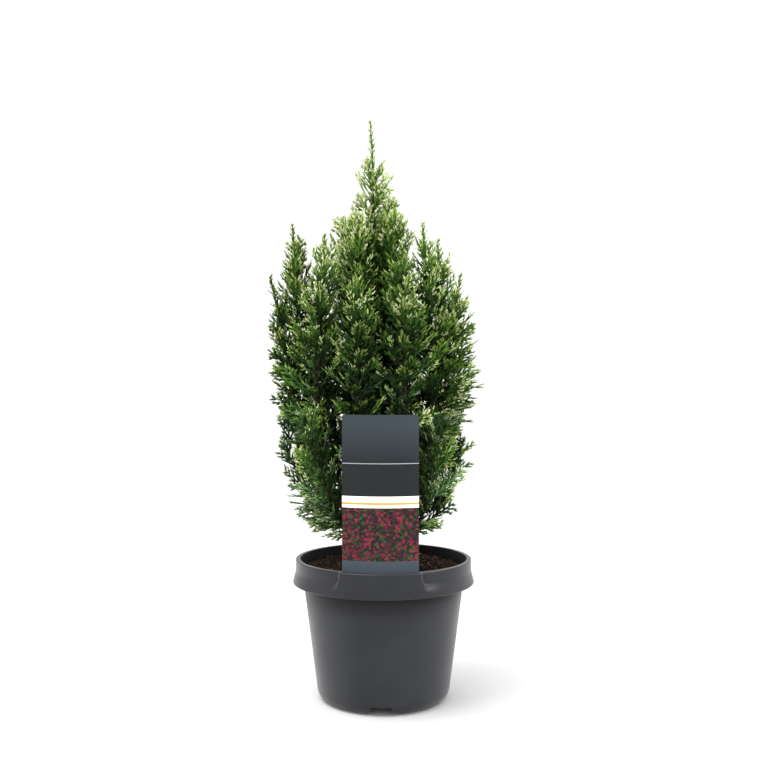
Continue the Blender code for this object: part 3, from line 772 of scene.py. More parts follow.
@dataclass
class Pot:
    """The nursery pot: a tapering wall on a notched foot ring, and a flared collar with a pocket."""

    height: float = 0.145
    wall: float = 0.0016
    foot_corner: float = 0.012
    foot_radius: float = 0.0694
    side_slope: float = 0.130
    floor_underside: float = 0.0095
    middle_foot_radius: float = 0.028
    foot_ring_inner: float = 0.054
    collar_bottom: float = 0.120
    collar_radius: float = 0.095
    collar_knee: float = 0.1325
    knee_fillet: float = 0.012
    bulge_fillet: float = 0.25
    band_radius: float = 0.0916
    pocket_radius: float = 0.0947
    lip_radius: float = 0.0868
    front: float = 268.0
    pocket_half_angle: float = 25.7
    pocket_low: float = 0.131
    pocket_corner: float = 0.008
    ridge_width: float = 0.0034
    ridge_spread: float = 0.006
    ridge_reach: float = 0.034
    pocket_floor: float = 0.1232
    pocket_gap: float = 0.00075
    slit_steps: int = 24
    notch_count: int = 4
    notch_width: float = 0.0208
    notch_flare: float = 0.0088
    notch_height: float = 0.0093
    notch_corner: Pair = (0.0008, 0.0007)
    notch_steps: int = 8
    past_ring: Pair = (0.004, 0.006)
    drain_count: int = 6
    drain_radius: float = 0.005
    drain_circle: float = 0.044
    drain_sides: int = 28
    ridge_turns: Pair = (-2.0, 16.0)

    @property
    def shoulder(self) -> float:
        """The height where the wall opens out to the lip."""
        return self.collar_bottom + 0.001

    @property
    def floor(self) -> float:
        """The height of the floor's upper side."""
        return self.floor_underside + self.wall

    def wall_radius(self, height: float) -> float:
        """The outside radius of the sloping side."""
        return self.foot_radius + self.side_slope * (height - self.foot_corner)

    def inner_radius(self, height: float) -> float:
        """The inside radius of the sloping side."""
        return self.wall_radius(height) - self.wall

    def section(self, pocket: bool) -> Array:
        """The cross-section, from the middle of the underside round to the middle of the floor.

        Args:
            pocket: Whether it is cut through the label pocket, and not through the plain collar.

        Returns:
            Radius and height of each point, as many in both cases.
        """
        band = self.pocket_radius if pocket else self.band_radius
        straight = (self.pocket_radius + self.collar_radius) / 2.0
        knee = straight + 0.0002 if pocket else self.band_radius
        knee_fillet = self.bulge_fillet if pocket else self.knee_fillet
        skirt = self.band_radius - self.wall
        flare = skirt if pocket else self.collar_radius - 1.7 * self.wall
        top = self.height - 2.0 * self.wall
        corners = (
            Corner(0.0, 0.0, 0.0, 3),
            Corner(self.middle_foot_radius, 0.0, 0.0012),
            Corner(self.middle_foot_radius + 0.005, self.floor_underside, 0.0015, 3),
            Corner(self.foot_ring_inner - 0.002, self.floor_underside, 0.0015),
            Corner(self.foot_ring_inner, 0.0, 0.0009, 2),
            Corner(self.wall_radius(0.0), 0.0, self.foot_corner, 3),
            Corner(self.wall_radius(self.shoulder), self.shoulder, 0.0015, 2),
            Corner(self.lip_radius + self.wall, top, 0.0006),
            Corner(skirt, top, 0.0005),
            Corner(skirt, self.collar_knee),
            Corner(flare, self.collar_bottom + 0.004),
            Corner(flare, self.collar_bottom, 0.0003),
            Corner(self.collar_radius, self.collar_bottom, 0.0014, 14),
            Corner(knee, self.collar_knee, knee_fillet, 22),
            Corner(band, self.height, 0.0012, 2),
            Corner(self.lip_radius, self.height, 0.0008, 2),
            Corner(self.inner_radius(self.shoulder), self.shoulder, 0.0015, 2),
            Corner(self.inner_radius(self.floor), self.floor, 0.004, 3),
            Corner(0.0, self.floor),
        )
        return outline(corners)

    def pocket_share(self, azimuths: Array, heights: Array) -> Array:
        """How far the collar's face stands out as the pocket.

        The pocket's end is a ridge that rounds a corner above the flare, runs level and fades.

        Args:
            azimuths: Azimuths, one to a row.
            heights: Heights, one to a column.

        Returns:
            From 0 on the plain collar to 1 on the pocket.
        """
        turned = np.abs((azimuths - self.front + 180.0) % 360.0 - 180.0)[:, None]
        beside = np.radians(turned - self.pocket_half_angle) * self.band_radius
        short_of_side = self.pocket_corner - beside
        short_of_top = (self.pocket_corner + self.pocket_low - heights)[None]
        rounded = np.hypot(np.maximum(short_of_side, 0.0), np.maximum(short_of_top, 0.0))
        away = self.pocket_corner - rounded - np.minimum(np.maximum(short_of_side, short_of_top), 0.0)
        width = self.ridge_width + self.ridge_spread * smooth_step(beside / self.pocket_corner)
        ridge = 1.0 - smooth_step(away / width + 0.6)
        return ridge * (1.0 - smooth_step(beside / self.ridge_reach))

    def turns(self) -> Array:
        """Azimuths all round the pot, closer together at the pocket's ridges.

        Returns:
            The azimuths, in order.
        """
        first, last = self.ridge_turns
        ridge = np.arange(self.pocket_half_angle + first, self.pocket_half_angle + last, 0.25)
        even = np.arange(0.0, 360.0, 2.0)
        return np.unique(np.round(np.concatenate((even, self.front + ridge, self.front - ridge)) % 360.0, 4))

    def body(self) -> Shape:
        """The whole pot as moulded, before it is cut.

        Returns:
            A closed shape, its inside tinted near black as painted shade.
        """
        plain, pocket = self.section(False), self.section(True)
        turns = self.turns()
        radii, heights = plain.T
        face = (radii > self.band_radius - 0.0003) & (heights > self.collar_bottom + 0.0005)
        levels = np.where(face, heights, self.height)
        share = self.pocket_share(turns, levels)[..., None]
        mixed = plain[None] * (1.0 - share) + pocket[None] * share
        ways = np.stack([compass(turn) for turn in turns])
        rings = ways[:, None, :] * mixed[..., :1] + UP * mixed[..., 1:]
        # The first and last point lie on the axis, and the fans of the skin take their place.
        rings = rings.transpose(1, 0, 2)[1:-1]
        # Past the rim, the inside takes the finish that paints it in shade
        rim = np.flatnonzero(heights > self.height - TINY)[-1]
        inside = np.arange(len(rings) - 1) > rim
        return skin(rings, inside.astype(int)).outwards()

    def arch(self, azimuth: float) -> Shape:
        """The shape that cuts one foot notch: straight on top, its flanks rounded out to the ground.

        Args:
            azimuth: The way that the notch faces.

        Returns:
            A closed shape that runs through the foot ring.
        """
        half = self.notch_width / 2.0
        wide, low = self.notch_corner
        side = [(half - wide, self.notch_height), (half, self.notch_height - low)]
        for share in np.linspace(0.25, 1.0, self.notch_steps):
            height = self.notch_height * (1.0 - share) + 0.0001
            side.append((half + self.notch_flare * share**1.9, height))
        side.append((half + self.notch_flare + 0.002, -0.002))
        profile = side + [(-across, height) for across, height in reversed(side)]
        way, across_way = compass(azimuth), compass(azimuth + 90.0)
        inward, outward = self.past_ring
        rings = []
        for reach in (self.foot_ring_inner - inward, self.foot_radius + outward):
            rings.append([way * reach + across_way * across + UP * height for across, height in profile])
        return skin(np.array(rings)).outwards()

    def drill(self, azimuth: float) -> Shape:
        """The shape that cuts one drain hole in the floor.

        Args:
            azimuth: Where round the floor the hole is.

        Returns:
            A closed cylinder that runs through the floor.
        """
        middle = compass(azimuth) * self.drain_circle
        turns = [compass(360.0 * k / self.drain_sides) * self.drain_radius for k in range(self.drain_sides)]
        rings = []
        for height in (self.floor_underside - 0.003, self.floor + 0.003):
            rings.append([middle + turn + UP * height for turn in turns])
        return skin(np.array(rings)).outwards()

    def slit(self, label: "Label") -> Shape:
        """The shape that cuts the pocket's slit, a little wider all round than the label.

        Args:
            label: The label that has to go in.

        Returns:
            A closed shape that opens through the rim.
        """
        half = label.half_angle() + 0.7
        inner = label.radius - label.thickness - self.pocket_gap
        outer = label.radius + self.pocket_gap
        low, high = self.pocket_floor, self.height + 0.004
        rings = []
        for k in range(self.slit_steps + 1):
            way = compass(self.front - half + 2.0 * half * k / self.slit_steps)
            corners = ((inner, low), (outer, low), (outer, high), (inner, high))
            rings.append([way * radius + UP * height for radius, height in corners])
        return skin(np.array(rings)).outwards()

    def build(self, label: "Label") -> list[Piece]:
        """Makes the pot.

        Args:
            label: The label that its pocket has to hold.

        Returns:
            The pot, as one moulded piece.
        """
        piece = self.body().piece("pot_shell", [POT_PLASTIC, INNER_WALL_SHADE], Slot.PLASTIC, ["pot"])
        cut_away(piece, self.slit(label))
        for k in range(self.notch_count):
            cut_away(piece, self.arch(self.front + 360.0 * k / self.notch_count))
        for k in range(self.drain_count):
            cut_away(piece, self.drill(360.0 * (k + 0.5) / self.drain_count))
        settle(piece, ["pot"], 32.0)
        return [piece]


class Print(Enum):
    """What each part of the label shows, from its foot up."""

    FOOT = 0
    DOTS = 1
    WHITE = 2
    STRIPE = 3
    MIDDLE = 4
    RULE = 5
    SKY = 6
    BACK = 7


@dataclass
class Label:
    """The printed card in the collar's pocket, bent to its curve. Its print is plain bands and dots."""

    width: float = 0.074
    top: float = 0.297
    bottom: float = 0.1236
    radius: float = 0.0927
    thickness: float = 0.0008
    corner: float = 0.003
    corner_steps: int = 6
    front: float = 268.0
    columns: int = 40
    # Heights where one printed part ends and the next begins
    bands: tuple[tuple[float, Print], ...] = (
        (0.1570, Print.FOOT),
        (0.2080, Print.DOTS),
        (0.2110, Print.WHITE),
        (0.2130, Print.STRIPE),
        (0.2190, Print.WHITE),
        (0.2500, Print.MIDDLE),
        (0.2507, Print.RULE),
        (0.2937, Print.SKY),
    )

    def half_angle(self) -> float:
        """Half the angle that the card spans round the pot."""
        return math.degrees(math.asin(self.width / 2.0 / self.radius))

    def finishes(self) -> list[Finish]:
        """The finish of each printed part.

        Returns:
            The finishes, in the order of Print.
        """
        return [
            FadedFilm("print_slate_foot", "#282f37", other="#323a43", low=0.145, high=0.157),
            DottedFilm("print_berry_dots", "#0b0708"),
            PrintedFilm("print_white", "#e6e6e1", other="#efefec"),
            PrintedFilm("print_orange", "#d4832a", other="#de9638"),
            PrintedFilm("print_anthracite", "#0f1113", other="#131517"),
            PrintedFilm("print_pale_rule", "#8e959e"),
            FadedFilm("print_slate_sky", "#14171a", other="#272f35", low=0.251, high=0.285),
            PrintedFilm("card_back", "#d6d6d2", 0.45, other="#dededb"),
        ]

    def build(self) -> list[Piece]:
        """Makes the label.

        Returns:
            The card, as one piece.
        """
        half = self.half_angle()
        edge = math.degrees(self.corner / self.radius)
        spread = np.linspace(-half, half, self.columns + 1)
        rounding = np.sin(np.linspace(0.0, math.pi / 2.0, self.corner_steps + 1))
        ends = half - edge * (1.0 - rounding)
        turns = np.unique(np.concatenate((spread[np.abs(spread) < half - edge], ends, -ends)).round(6))
        inset = np.clip(1.0 - (half - np.abs(turns)) / edge, 0.0, 1.0)
        tops = self.top - self.corner * (1.0 - np.sqrt(1.0 - inset**2))
        lows = [self.bottom] + [height for height, _ in self.bands]
        loops = []
        for turn, top in zip(turns, tops):
            way = compass(self.front + turn)
            heights = [*lows, top]
            front = [way * self.radius + UP * height for height in heights]
            back = [way * (self.radius - self.thickness) + UP * height for height in reversed(heights)]
            loops.append(front + back)
        body = skin(np.array(loops))
        # Each loop runs up the printed front, over the top edge and down the plain back to the foot.
        zones = [zone.value for _, zone in self.bands] + [Print.SKY.value] * 2
        around = zones + [Print.BACK.value] * len(zones)
        edges = [Print.BACK.value] * (2 * len(around))
        body.tints = np.array(around * (2 * (len(loops) - 1)) + edges)
        return [body.outwards().piece("label_card", self.finishes(), Slot.CARD, ["plant_label"], 40.0)]


@dataclass
class Soil:
    """The peat in the pot: an uneven bed, and crumbs and slivers of fibre lying on it."""

    pot: Pot
    top: float = 0.137
    mound: float = 0.0015
    edge_fall: float = 0.003
    edge_start: float = 0.9
    flat_radius: float = 0.016
    unevenness: Ripple = Ripple(0.018, 0.0007, 41)
    gap: float = 0.0008
    floor_corner: Pair = (0.003, 0.004)
    rings: int = 64
    segments: int = 180
    crumb_count: int = 2200
    crumb_ring: Pair = (0.01, 0.97)
    crumb_size: Pair = (0.0007, 0.0019)
    crumb_kinds: Row = (0.34, 0.38, 0.22, 0.06)
    sliver_count: int = 260
    sliver_ring: Pair = (0.03, 0.88)
    sliver_size: Pair = (0.0025, 0.0060)
    sliver_slope: Pair = (-0.05, 0.12)
    sliver_width: float = 0.09
    sliver_thickness: float = 0.00035
    sliver_kinds: Row = (0.3, 0.45, 0.25)
    seed: int = 41

    @property
    def edge(self) -> float:
        """The height of the bed where it meets the pot."""
        return self.top - self.edge_fall

    def rim(self, height: float) -> float:
        """How far out the peat may go at a height above the pot's shoulder.

        Args:
            height: The height.

        Returns:
            The radius of the pot's inner wall there, less a small gap.
        """
        shoulder = self.pot.shoulder
        foot = self.pot.inner_radius(shoulder)
        slope = (self.pot.lip_radius - foot) / (self.pot.height - shoulder)
        return foot + slope * (height - shoulder) - self.gap

    def level(self, places: Array) -> Array:
        """The height of the bed's surface.

        Args:
            places: Level places, one to a row.

        Returns:
            A height for each: a mound round the stem, a fall at the rim, uneven in between.
        """
        out = np.hypot(places[:, 0], places[:, 1]) / self.rim(self.top)
        spread = [0.0, self.flat_radius / self.rim(self.top), 0.5, self.edge_start, 1.0]
        falls = [self.mound, self.mound, 0.0, -0.0012, -self.edge_fall]
        return self.top + np.interp(out, spread, falls) + self.unevenness.at(places[:, :2])

    def bed(self) -> Shape:
        """The bed, closed down to the pot's floor.

        Returns:
            A closed shape just inside the pot.
        """
        pot = self.pot
        floor = pot.floor + self.gap * 0.4
        inward, upward = self.floor_corner
        lower = (
            (0.002, floor),
            (pot.inner_radius(floor) - self.gap - inward, floor),
            (pot.inner_radius(floor + upward) - self.gap, floor + upward),
            (pot.inner_radius(pot.shoulder) - self.gap, pot.shoulder),
        )
        ways = np.stack([compass(360.0 * k / self.segments) for k in range(self.segments)])
        rings = [ways * radius + UP * height for radius, height in lower]
        for k in range(self.rings):
            ring = ways * self.rim(self.edge - 0.001) * (1.0 - k / self.rings) ** 0.9
            rings.append(ring + UP * self.level(ring)[:, None])
        return skin(np.array(rings)).outwards()

    def scattered(self, rng: Random, count: int, ring: Pair) -> Array:
        """Places spread evenly over the bed.

        Args:
            rng: The random numbers.
            count: How many places.
            ring: The least and greatest share of the bed's area that lies within a place.

        Returns:
            Points on the bed's surface, one to a row.
        """
        radii = self.rim(self.edge) * np.sqrt(rng.uniform(*ring, count))
        turns = rng.uniform(0.0, math.tau, count)
        places = np.stack((radii * np.cos(turns), radii * np.sin(turns), np.zeros(count)), axis=1)
        places[:, 2] = self.level(places)
        return places

    def crumbs(self, rng: Random) -> Shape:
        """Small lumps, each an uneven eight-sided grain, half sunk in the bed.

        Args:
            rng: The random numbers.

        Returns:
            All crumbs as one shape.
        """
        count = self.crumb_count
        middles = self.scattered(rng, count, self.crumb_ring)
        least, spread = self.crumb_size
        sizes = least + spread * rng.random(count) ** 2.6
        middles[:, 2] += sizes * 0.25
        ball = np.array([(1, 0, 0), (-1, 0, 0), (0, 1, 0), (0, -1, 0), (0, 0, 1), (0, 0, -1)], float)
        faces = ((0, 2, 4), (2, 1, 4), (1, 3, 4), (3, 0, 4), (2, 0, 5), (1, 2, 5), (3, 1, 5), (0, 3, 5))
        frames = np.linalg.qr(rng.normal(size=(count, 3, 3)))[0]
        lumps = ball[None] * rng.uniform(0.6, 1.25, (count, 6, 1)) * rng.uniform(0.6, 1.3, (count, 1, 3))
        lumps = np.einsum("nij,nkj->nki", frames, lumps) * sizes[:, None, None]
        lumps[..., 2] *= 0.75
        return Shape.copies(middles[:, None] + lumps, faces, rng.choice(4, count, p=self.crumb_kinds))

    def slivers(self, rng: Random) -> Shape:
        """Thin flakes of bark and fibre, each a slim spindle lying almost level.

        Args:
            rng: The random numbers.

        Returns:
            All slivers as one shape.
        """
        count = self.sliver_count
        roots = self.scattered(rng, count, self.sliver_ring)
        roots[:, 2] += 0.0004
        headings = rng.uniform(0.0, math.tau, count)
        slopes = rng.uniform(*self.sliver_slope, count)
        ways = unit(np.stack((np.cos(headings), np.sin(headings), slopes), axis=1))
        least, spread = self.sliver_size
        lengths = least + spread * rng.random(count) ** 2.0
        across = unit(np.cross(ways, UP)) * (lengths * self.sliver_width)[:, None]
        lift = UP * self.sliver_thickness
        middles = roots + ways * (lengths * 0.5)[:, None]
        tips = roots + ways * lengths[:, None]
        around = (middles - across, middles + lift, middles + across, middles - lift)
        kept = np.hypot(tips[:, 0], tips[:, 1]) < self.rim(self.edge) - 0.0005
        corners = np.stack((roots, *around, tips), axis=1)[kept]
        faces = ((0, 1, 2), (0, 2, 3), (0, 3, 4), (0, 4, 1), (5, 2, 1), (5, 3, 2), (5, 4, 3), (5, 1, 4))
        return Shape.copies(corners, faces, rng.choice((1, 2, 3), len(corners), p=self.sliver_kinds))

    def build(self) -> list[Piece]:
        """Makes the peat.

        Returns:
            The bed, and what lies on it.
        """
        rng = np.random.default_rng(self.seed)
        bed = self.bed().piece("peat_bed", [PEAT_BED], Slot.PEAT, ["soil"], 60.0)
        litter = Shape.joined((self.crumbs(rng), self.slivers(rng)))
        return [bed, litter.piece("peat_crumbs", CRUMBS, Slot.PEAT, ["soil"])]


@dataclass
class Path:
    """A line through space that gives its place and direction at any distance along it."""

    points: Array
    runs: Array = field(init=False)

    def __post_init__(self) -> None:
        """Measures how far along each point is."""
        steps = np.linalg.norm(np.diff(self.points, axis=0), axis=1)
        self.runs = np.concatenate(((0.0,), np.cumsum(steps)))

    @classmethod
    def through(cls, places: Sequence[Array], spacing: float) -> "Path":
        """A smooth curve through the given places, as the part's source draws it.

        Args:
            places: The places in order.
            spacing: About how far apart the curve's points are.

        Returns:
            The path.
        """
        ends = [places[0] * 2.0 - places[1], *places, places[-1] * 2.0 - places[-2]]
        found = [places[0]]
        for a, b, c, d in zip(ends, ends[1:], ends[2:], ends[3:]):
            steps = max(1, round(float(np.linalg.norm(c - b)) / spacing))
            for k in range(1, steps + 1):
                t = k / steps
                cubic = (d - a + (b - c) * 3.0) * t**3 + (a * 2.0 - b * 5.0 + c * 4.0 - d) * t**2
                found.append((cubic + (c - a) * t + b * 2.0) / 2.0)
        return cls(np.array(found))

    @property
    def length(self) -> float:
        """The whole length."""
        return float(self.runs[-1])

    def at(self, distances: Array) -> tuple[Array, Array]:
        """Places and directions at distances along the line.

        Args:
            distances: Distances from its start.

        Returns:
            The points, and the line's unit direction at each.
        """
        held = np.clip(distances, 0.0, self.length)
        points = np.stack([np.interp(held, self.runs, self.points[:, k]) for k in range(3)], axis=-1)
        k = np.clip(np.searchsorted(self.runs, held), 1, len(self.runs) - 1)
        return points, unit(self.points[k] - self.points[k - 1])

    def stretch(self, start: float, end: float, spacing: float) -> "Path":
        """The part of the line between two distances, with points about this far apart."""
        steps = max(1, round((end - start) / spacing))
        return Path(self.at(np.linspace(start, end, steps + 1))[0])


@dataclass(frozen=True)
class Relief:
    """The relief of bark on a limb: low ridges that run lengthwise, as a share of the limb's radius."""

    ripple: Ripple
    sides: int
    round_limb: float = 0.006
    along_limb: float = 0.16
    # A way that no limb takes, from which the points round it start
    aside: Place = (0.31, 0.95, 0.07)

    def limb(self, path: Path, radii: Array) -> Shape:
        """Makes a limb with this relief.

        Args:
            path: The limb's middle line.
            radii: A radius for each of its points.

        Returns:
            The limb's closed shape.
        """
        points = path.points
        ways = unit(np.gradient(points, axis=0))
        side = unit(np.cross(ways, np.array(self.aside)))
        other = np.cross(ways, side)
        angles = np.arange(self.sides) * math.tau / self.sides
        cosines, sines = np.cos(angles)[:, None], np.sin(angles)[:, None]
        outward = side[:, None] * cosines + other[:, None] * sines
        places = np.empty((len(points), self.sides, 3))
        places[..., 0] = np.cos(angles) * self.round_limb
        places[..., 1] = np.sin(angles) * self.round_limb
        places[..., 2] = path.runs[:, None] * self.along_limb
        ridges = self.ripple.at(places.reshape(-1, 3)).reshape(len(points), self.sides)
        return skin(points[:, None] + outward * (radii[:, None] * (1.0 + ridges))[..., None]).outwards()


@dataclass
class MainStem:
    """The main stem: upright at the peat, then leaning left with a slight sway, flared at its foot."""

    soil: Soil
    foot_radius: float = 0.0065
    flare_radius: float = 0.0105
    flare_height: float = 0.016
    top: float = 0.462
    top_radius: float = 0.0016
    upright: float = 0.005
    lean: float = -0.013
    lean_height: float = 0.300
    sway: float = 0.002
    sway_bends: float = 2.5
    ring_spacing: float = 0.0011
    bark: Relief = Relief(Ripple(0.0045, 0.055, 7), 56)

    @property
    def foot(self) -> float:
        """The height where the stem leaves the peat."""
        return self.soil.top + self.soil.mound

    def place(self, height: float) -> Array:
        """The middle of the stem at a height.

        Args:
            height: The height.

        Returns:
            The point.
        """
        base = self.foot + self.upright
        run = max(0.0, height - base)
        share = min(1.0, run / (self.lean_height - base))
        lean = self.lean * share * share * (3.0 - 2.0 * share)
        sway = self.sway * math.sin(run / (self.top - base) * self.sway_bends * math.pi)
        return np.array((lean, sway, height))

    def radius(self, height: float) -> float:
        """The stem's radius at a height, with the flare at its foot.

        Args:
            height: The height, at the peat or above.

        Returns:
            The radius.
        """
        share = (height - self.foot) / (self.top - self.foot)
        radius = self.foot_radius + (self.top_radius - self.foot_radius) * share
        flare = max(0.0, 1.0 - (height - self.foot) / self.flare_height)
        return radius + (self.flare_radius - self.foot_radius) * flare * flare

    def beside(self, azimuth: float, radius: float, height: float) -> Array:
        """A point at an azimuth and radius round the stem's line."""
        return self.place(height) + compass(azimuth) * radius

    def build(self) -> list[Piece]:
        """Makes the stem.

        Returns:
            The stem with its bark, as one piece.
        """
        heights = np.arange(self.foot - 0.003, self.top + self.ring_spacing / 2.0, self.ring_spacing)
        path = Path(np.stack([self.place(height) for height in heights]))
        radii = np.array([self.radius(max(height, self.foot)) for height in heights])
        return [self.bark.limb(path, radii).piece("stem_bark", [STEM_BARK], Slot.BARK, ["stem"], 50.0)]


@dataclass
class Shoots:
    """Many shoots of one order, one to a row. Each leaves its root in its way and curls as it goes.

    A flat is the direction that the face of its spray looks. A tone says how pale a shoot is, from 0 to 1,
    much of it painted light and shade, a glow how much paler its tip is, a hue which run of greens it takes,
    the bluer run being painted shade, and a host which shoot of the order before carries it.
    """

    roots: Array
    ways: Array
    flats: Array
    curls: Array
    lengths: Array
    tones: Array
    glows: Array
    hues: Array
    hosts: Array

    def __len__(self) -> int:
        """How many shoots there are."""
        return len(self.lengths)

    @classmethod
    def joined(cls, groups: Sequence["Shoots"]) -> "Shoots":
        """Several groups as one. Their hosts only count within each group."""
        names = cls.__dataclass_fields__
        return cls(*(np.concatenate([getattr(group, name) for group in groups]) for name in names))

    def kept(self, chosen: Array) -> "Shoots":
        """Only the chosen ones."""
        return Shoots(*(getattr(self, name)[chosen] for name in self.__dataclass_fields__))

    def at(self, shares: Array) -> tuple[Array, Array, Array]:
        """Where the shoots are at shares of their length.

        Args:
            shares: Shares by shoot and by place.

        Returns:
            Points, directions and flats, by shoot and by place.
        """
        run = shares[..., None]
        way, curl = self.ways[:, None], self.curls[:, None]
        points = self.roots[:, None] + self.lengths[:, None, None] * (way * run + curl * run**2)
        ways = unit(way + 2.0 * curl * run)
        flats = np.broadcast_to(self.flats[:, None], ways.shape)
        return points, ways, unit(flats - ways * dot(flats, ways))

    def outer(self, start: float) -> "Shoots":
        """The part of each shoot beyond a share of its length.

        Args:
            start: The share where it begins.

        Returns:
            The outer parts, with the same curves.
        """
        part = self.kept(np.arange(len(self)))
        points, _, flats = self.at(np.full((len(self), 1), start))
        part.roots, part.flats = points[:, 0], flats[:, 0]
        part.ways = self.ways + 2.0 * self.curls * start
        part.curls = self.curls * (1.0 - start)
        part.lengths = self.lengths * (1.0 - start)
        return part

    def branched(
        self,
        shares: Array,
        hands: Array,
        lengths: Array,
        angles: Array,
        tilts: Array,
        curl: float,
        tones: Array,
        glows: Array,
    ) -> "Shoots":
        """The next order of shoots, to the left and right of these.

        Args:
            shares: Where each one leaves, by shoot and by place.
            hands: Which side it takes, -1 or 1.
            lengths: How long it is. Those of no length are left out.
            angles: How far it turns from its parent.
            tilts: How far it stands out of its parent's plane.
            curl: How far it bends back towards its parent's way, as a share of its length.
            tones: How pale it is.
            glows: How much paler its tip is.

        Returns:
            The new shoots, one to a row.
        """
        points, ways, flats = self.at(shares)
        across = np.cross(flats, ways) * hands[..., None]
        turn, tilt = np.radians(angles)[..., None], np.radians(tilts)[..., None]
        out = ways * np.cos(turn) + (across * np.cos(tilt) + flats * np.sin(tilt)) * np.sin(turn)
        faces = flats * np.cos(tilt) - across * np.sin(tilt)
        back = (ways - out * dot(ways, out)) * curl
        grown = lengths > 0.0
        hosts = np.nonzero(grown)[0]
        sized = (lengths[grown], tones[grown], glows[grown])
        return Shoots(points[grown], out[grown], faces[grown], back[grown], *sized, self.hues[hosts], hosts)

    def wood(self, thick: float, thin: float, sides: int, steps: int, end: float) -> Shape:
        """Round wood along every shoot.

        Args:
            thick: Its radius at the root.
            thin: Its radius at its end.
            sides: How many points go round it.
            steps: How many rings it has after the first.
            end: The share of the length that it reaches.

        Returns:
            The wood of all shoots as one shape.
        """
        shares = np.broadcast_to(np.linspace(0.0, end, steps + 1), (len(self), steps + 1))
        points, ways, flats = self.at(shares)
        across = np.cross(flats, ways)
        angles = np.arange(sides) * math.tau / sides
        radii = (thick + (thin - thick) * shares / end)[..., None, None]
        turned = flats[:, :, None] * np.cos(angles)[:, None] + across[:, :, None] * np.sin(angles)[:, None]
        corners = (points[:, :, None] + turned * radii).reshape(len(self), -1, 3)
        return Shape.copies(corners, between_rings(steps + 1, sides), np.zeros(len(self), int))


@dataclass(frozen=True)
class LeafRule:
    """How scale leaves sit on a shoot: in pairs pressed flat to its sides, each a small folded kite."""

    pitch: float
    length: float
    half_width: float
    axis_radius: float
    most_pairs: int = 40
    lean: float = 10.0
    widest: float = 0.46
    fold: float = 0.5
    tilt: float = 0.13
    tip_taper: float = 0.35
    glow_from: float = 0.45
    # Each shoot darkens towards its root, as painted shade among the crowded shoots
    root_dim: float = 0.14

    def shade(self, tones: Array, hues: Array) -> Array:
        """The number of the green for each tone and hue."""
        return np.clip((tones * TONE_COUNT).astype(int), 0, TONE_COUNT - 1) + hues * TONE_COUNT

    def dress(self, shoots: Shoots) -> list[Shape]:
        """Covers shoots with leaves.

        Args:
            shoots: The shoots to cover.

        Returns:
            One shape for each number of pairs that occurs.
        """
        counts = np.clip(np.rint(shoots.lengths / self.pitch), 1, self.most_pairs).astype(int)
        return [self.cover(shoots.kept(counts == count), int(count)) for count in np.unique(counts)]

    def cover(self, shoots: Shoots, pairs: int) -> Shape:
        """Covers shoots that all have the same number of pairs.

        Args:
            shoots: The shoots.
            pairs: How many pairs of leaves each has.

        Returns:
            The leaves and the green axis that they sit on.
        """
        count = len(shoots)
        places = (np.arange(pairs) + 0.2) / (pairs + 0.45)
        shares = np.broadcast_to(places, (count, pairs))
        points, ways, flats = shoots.at(shares)
        across = np.cross(flats, ways)
        size = (self.length * (1.0 - self.tip_taper * shares))[..., None]
        facing = np.where(np.arange(pairs) % 2 == 0, 1.0, -1.0)[None, :, None]
        lean = math.radians(self.lean)
        glow = smooth_step((shares - self.glow_from) / (1.0 - self.glow_from)) * shoots.glows[:, None]
        # Paler towards the tip, and painted shade towards the root
        dim = self.root_dim * (1.0 - shares) ** 2
        numbers = self.shade(shoots.tones[:, None] + glow - dim, shoots.hues[:, None])
        shapes = []
        for hand in (-1.0, 1.0):
            rib = ways * math.cos(lean) + across * math.sin(lean) * hand + flats * facing * self.tilt
            roots = points + across * self.axis_radius * 0.5 * hand
            shapes.append(self.kites(roots, unit(rib), flats * facing, size, numbers))
        tip, tip_way, tip_flat = shoots.at(np.full((count, 1), 0.90))
        tip_size = np.full((count, 1, 1), self.length * (1.0 - self.tip_taper))
        tip_numbers = self.shade(shoots.tones + shoots.glows, shoots.hues)
        shapes.append(self.kites(tip, tip_way, tip_flat, tip_size, tip_numbers[:, None]))
        shapes.append(self.axis(shoots, tip_numbers))
        return Shape.joined(shapes)

    def kites(
        self, points: Array, ribs: Array, flats: Array, size: Array, numbers: Array
    ) -> Shape:
        """Leaves of two triangles, folded along the rib.

        Args:
            points: Where the leaves start, by shoot and by place.
            ribs: The ways that their ribs run.
            flats: The ways that their faces look.
            size: How long they are.
            numbers: The numbers of their greens.

        Returns:
            The leaves as one shape.
        """
        spread = np.cross(flats, ribs) * self.half_width * (size / self.length)
        middle = points + ribs * size * self.widest - flats * self.half_width * self.fold
        corners = np.stack((points, middle - spread, points + ribs * size, middle + spread), axis=-2)
        return Shape.copies(corners.reshape(-1, 4, 3), ((0, 1, 2), (0, 2, 3)), numbers)

    def axis(self, shoots: Shoots, tip_numbers: Array) -> Shape:
        """The green axis: a spike of three sides, with one joint where it bends, pale beyond the joint.

        Args:
            shoots: The shoots.
            tip_numbers: The number of the green at each shoot's tip.

        Returns:
            The axes as one shape.
        """
        shares = np.broadcast_to(np.array((0.0, 0.6, 1.0)), (len(shoots), 3))
        points, ways, flats = shoots.at(shares)
        across = np.cross(flats, ways)
        corners = []
        for k, radius in ((0, self.axis_radius), (1, self.axis_radius * 0.85)):
            for angle in (90.0, 210.0, 330.0):
                turn = math.radians(angle)
                around = flats[:, k] * math.sin(turn) + across[:, k] * math.cos(turn)
                corners.append(points[:, k] + around * radius)
        corners.append(points[:, 2])
        faces = []
        for k in range(3):
            after = (k + 1) % 3
            faces += [(k, after, 3 + after), (k, 3 + after, 3 + k), (3 + k, 3 + after, 6)]
        base = self.shade(shoots.tones - 0.05, shoots.hues)
        greens = np.stack([base, base, tip_numbers] * 3, axis=1)
        return Shape.copies(np.stack(corners, axis=1), faces, greens)


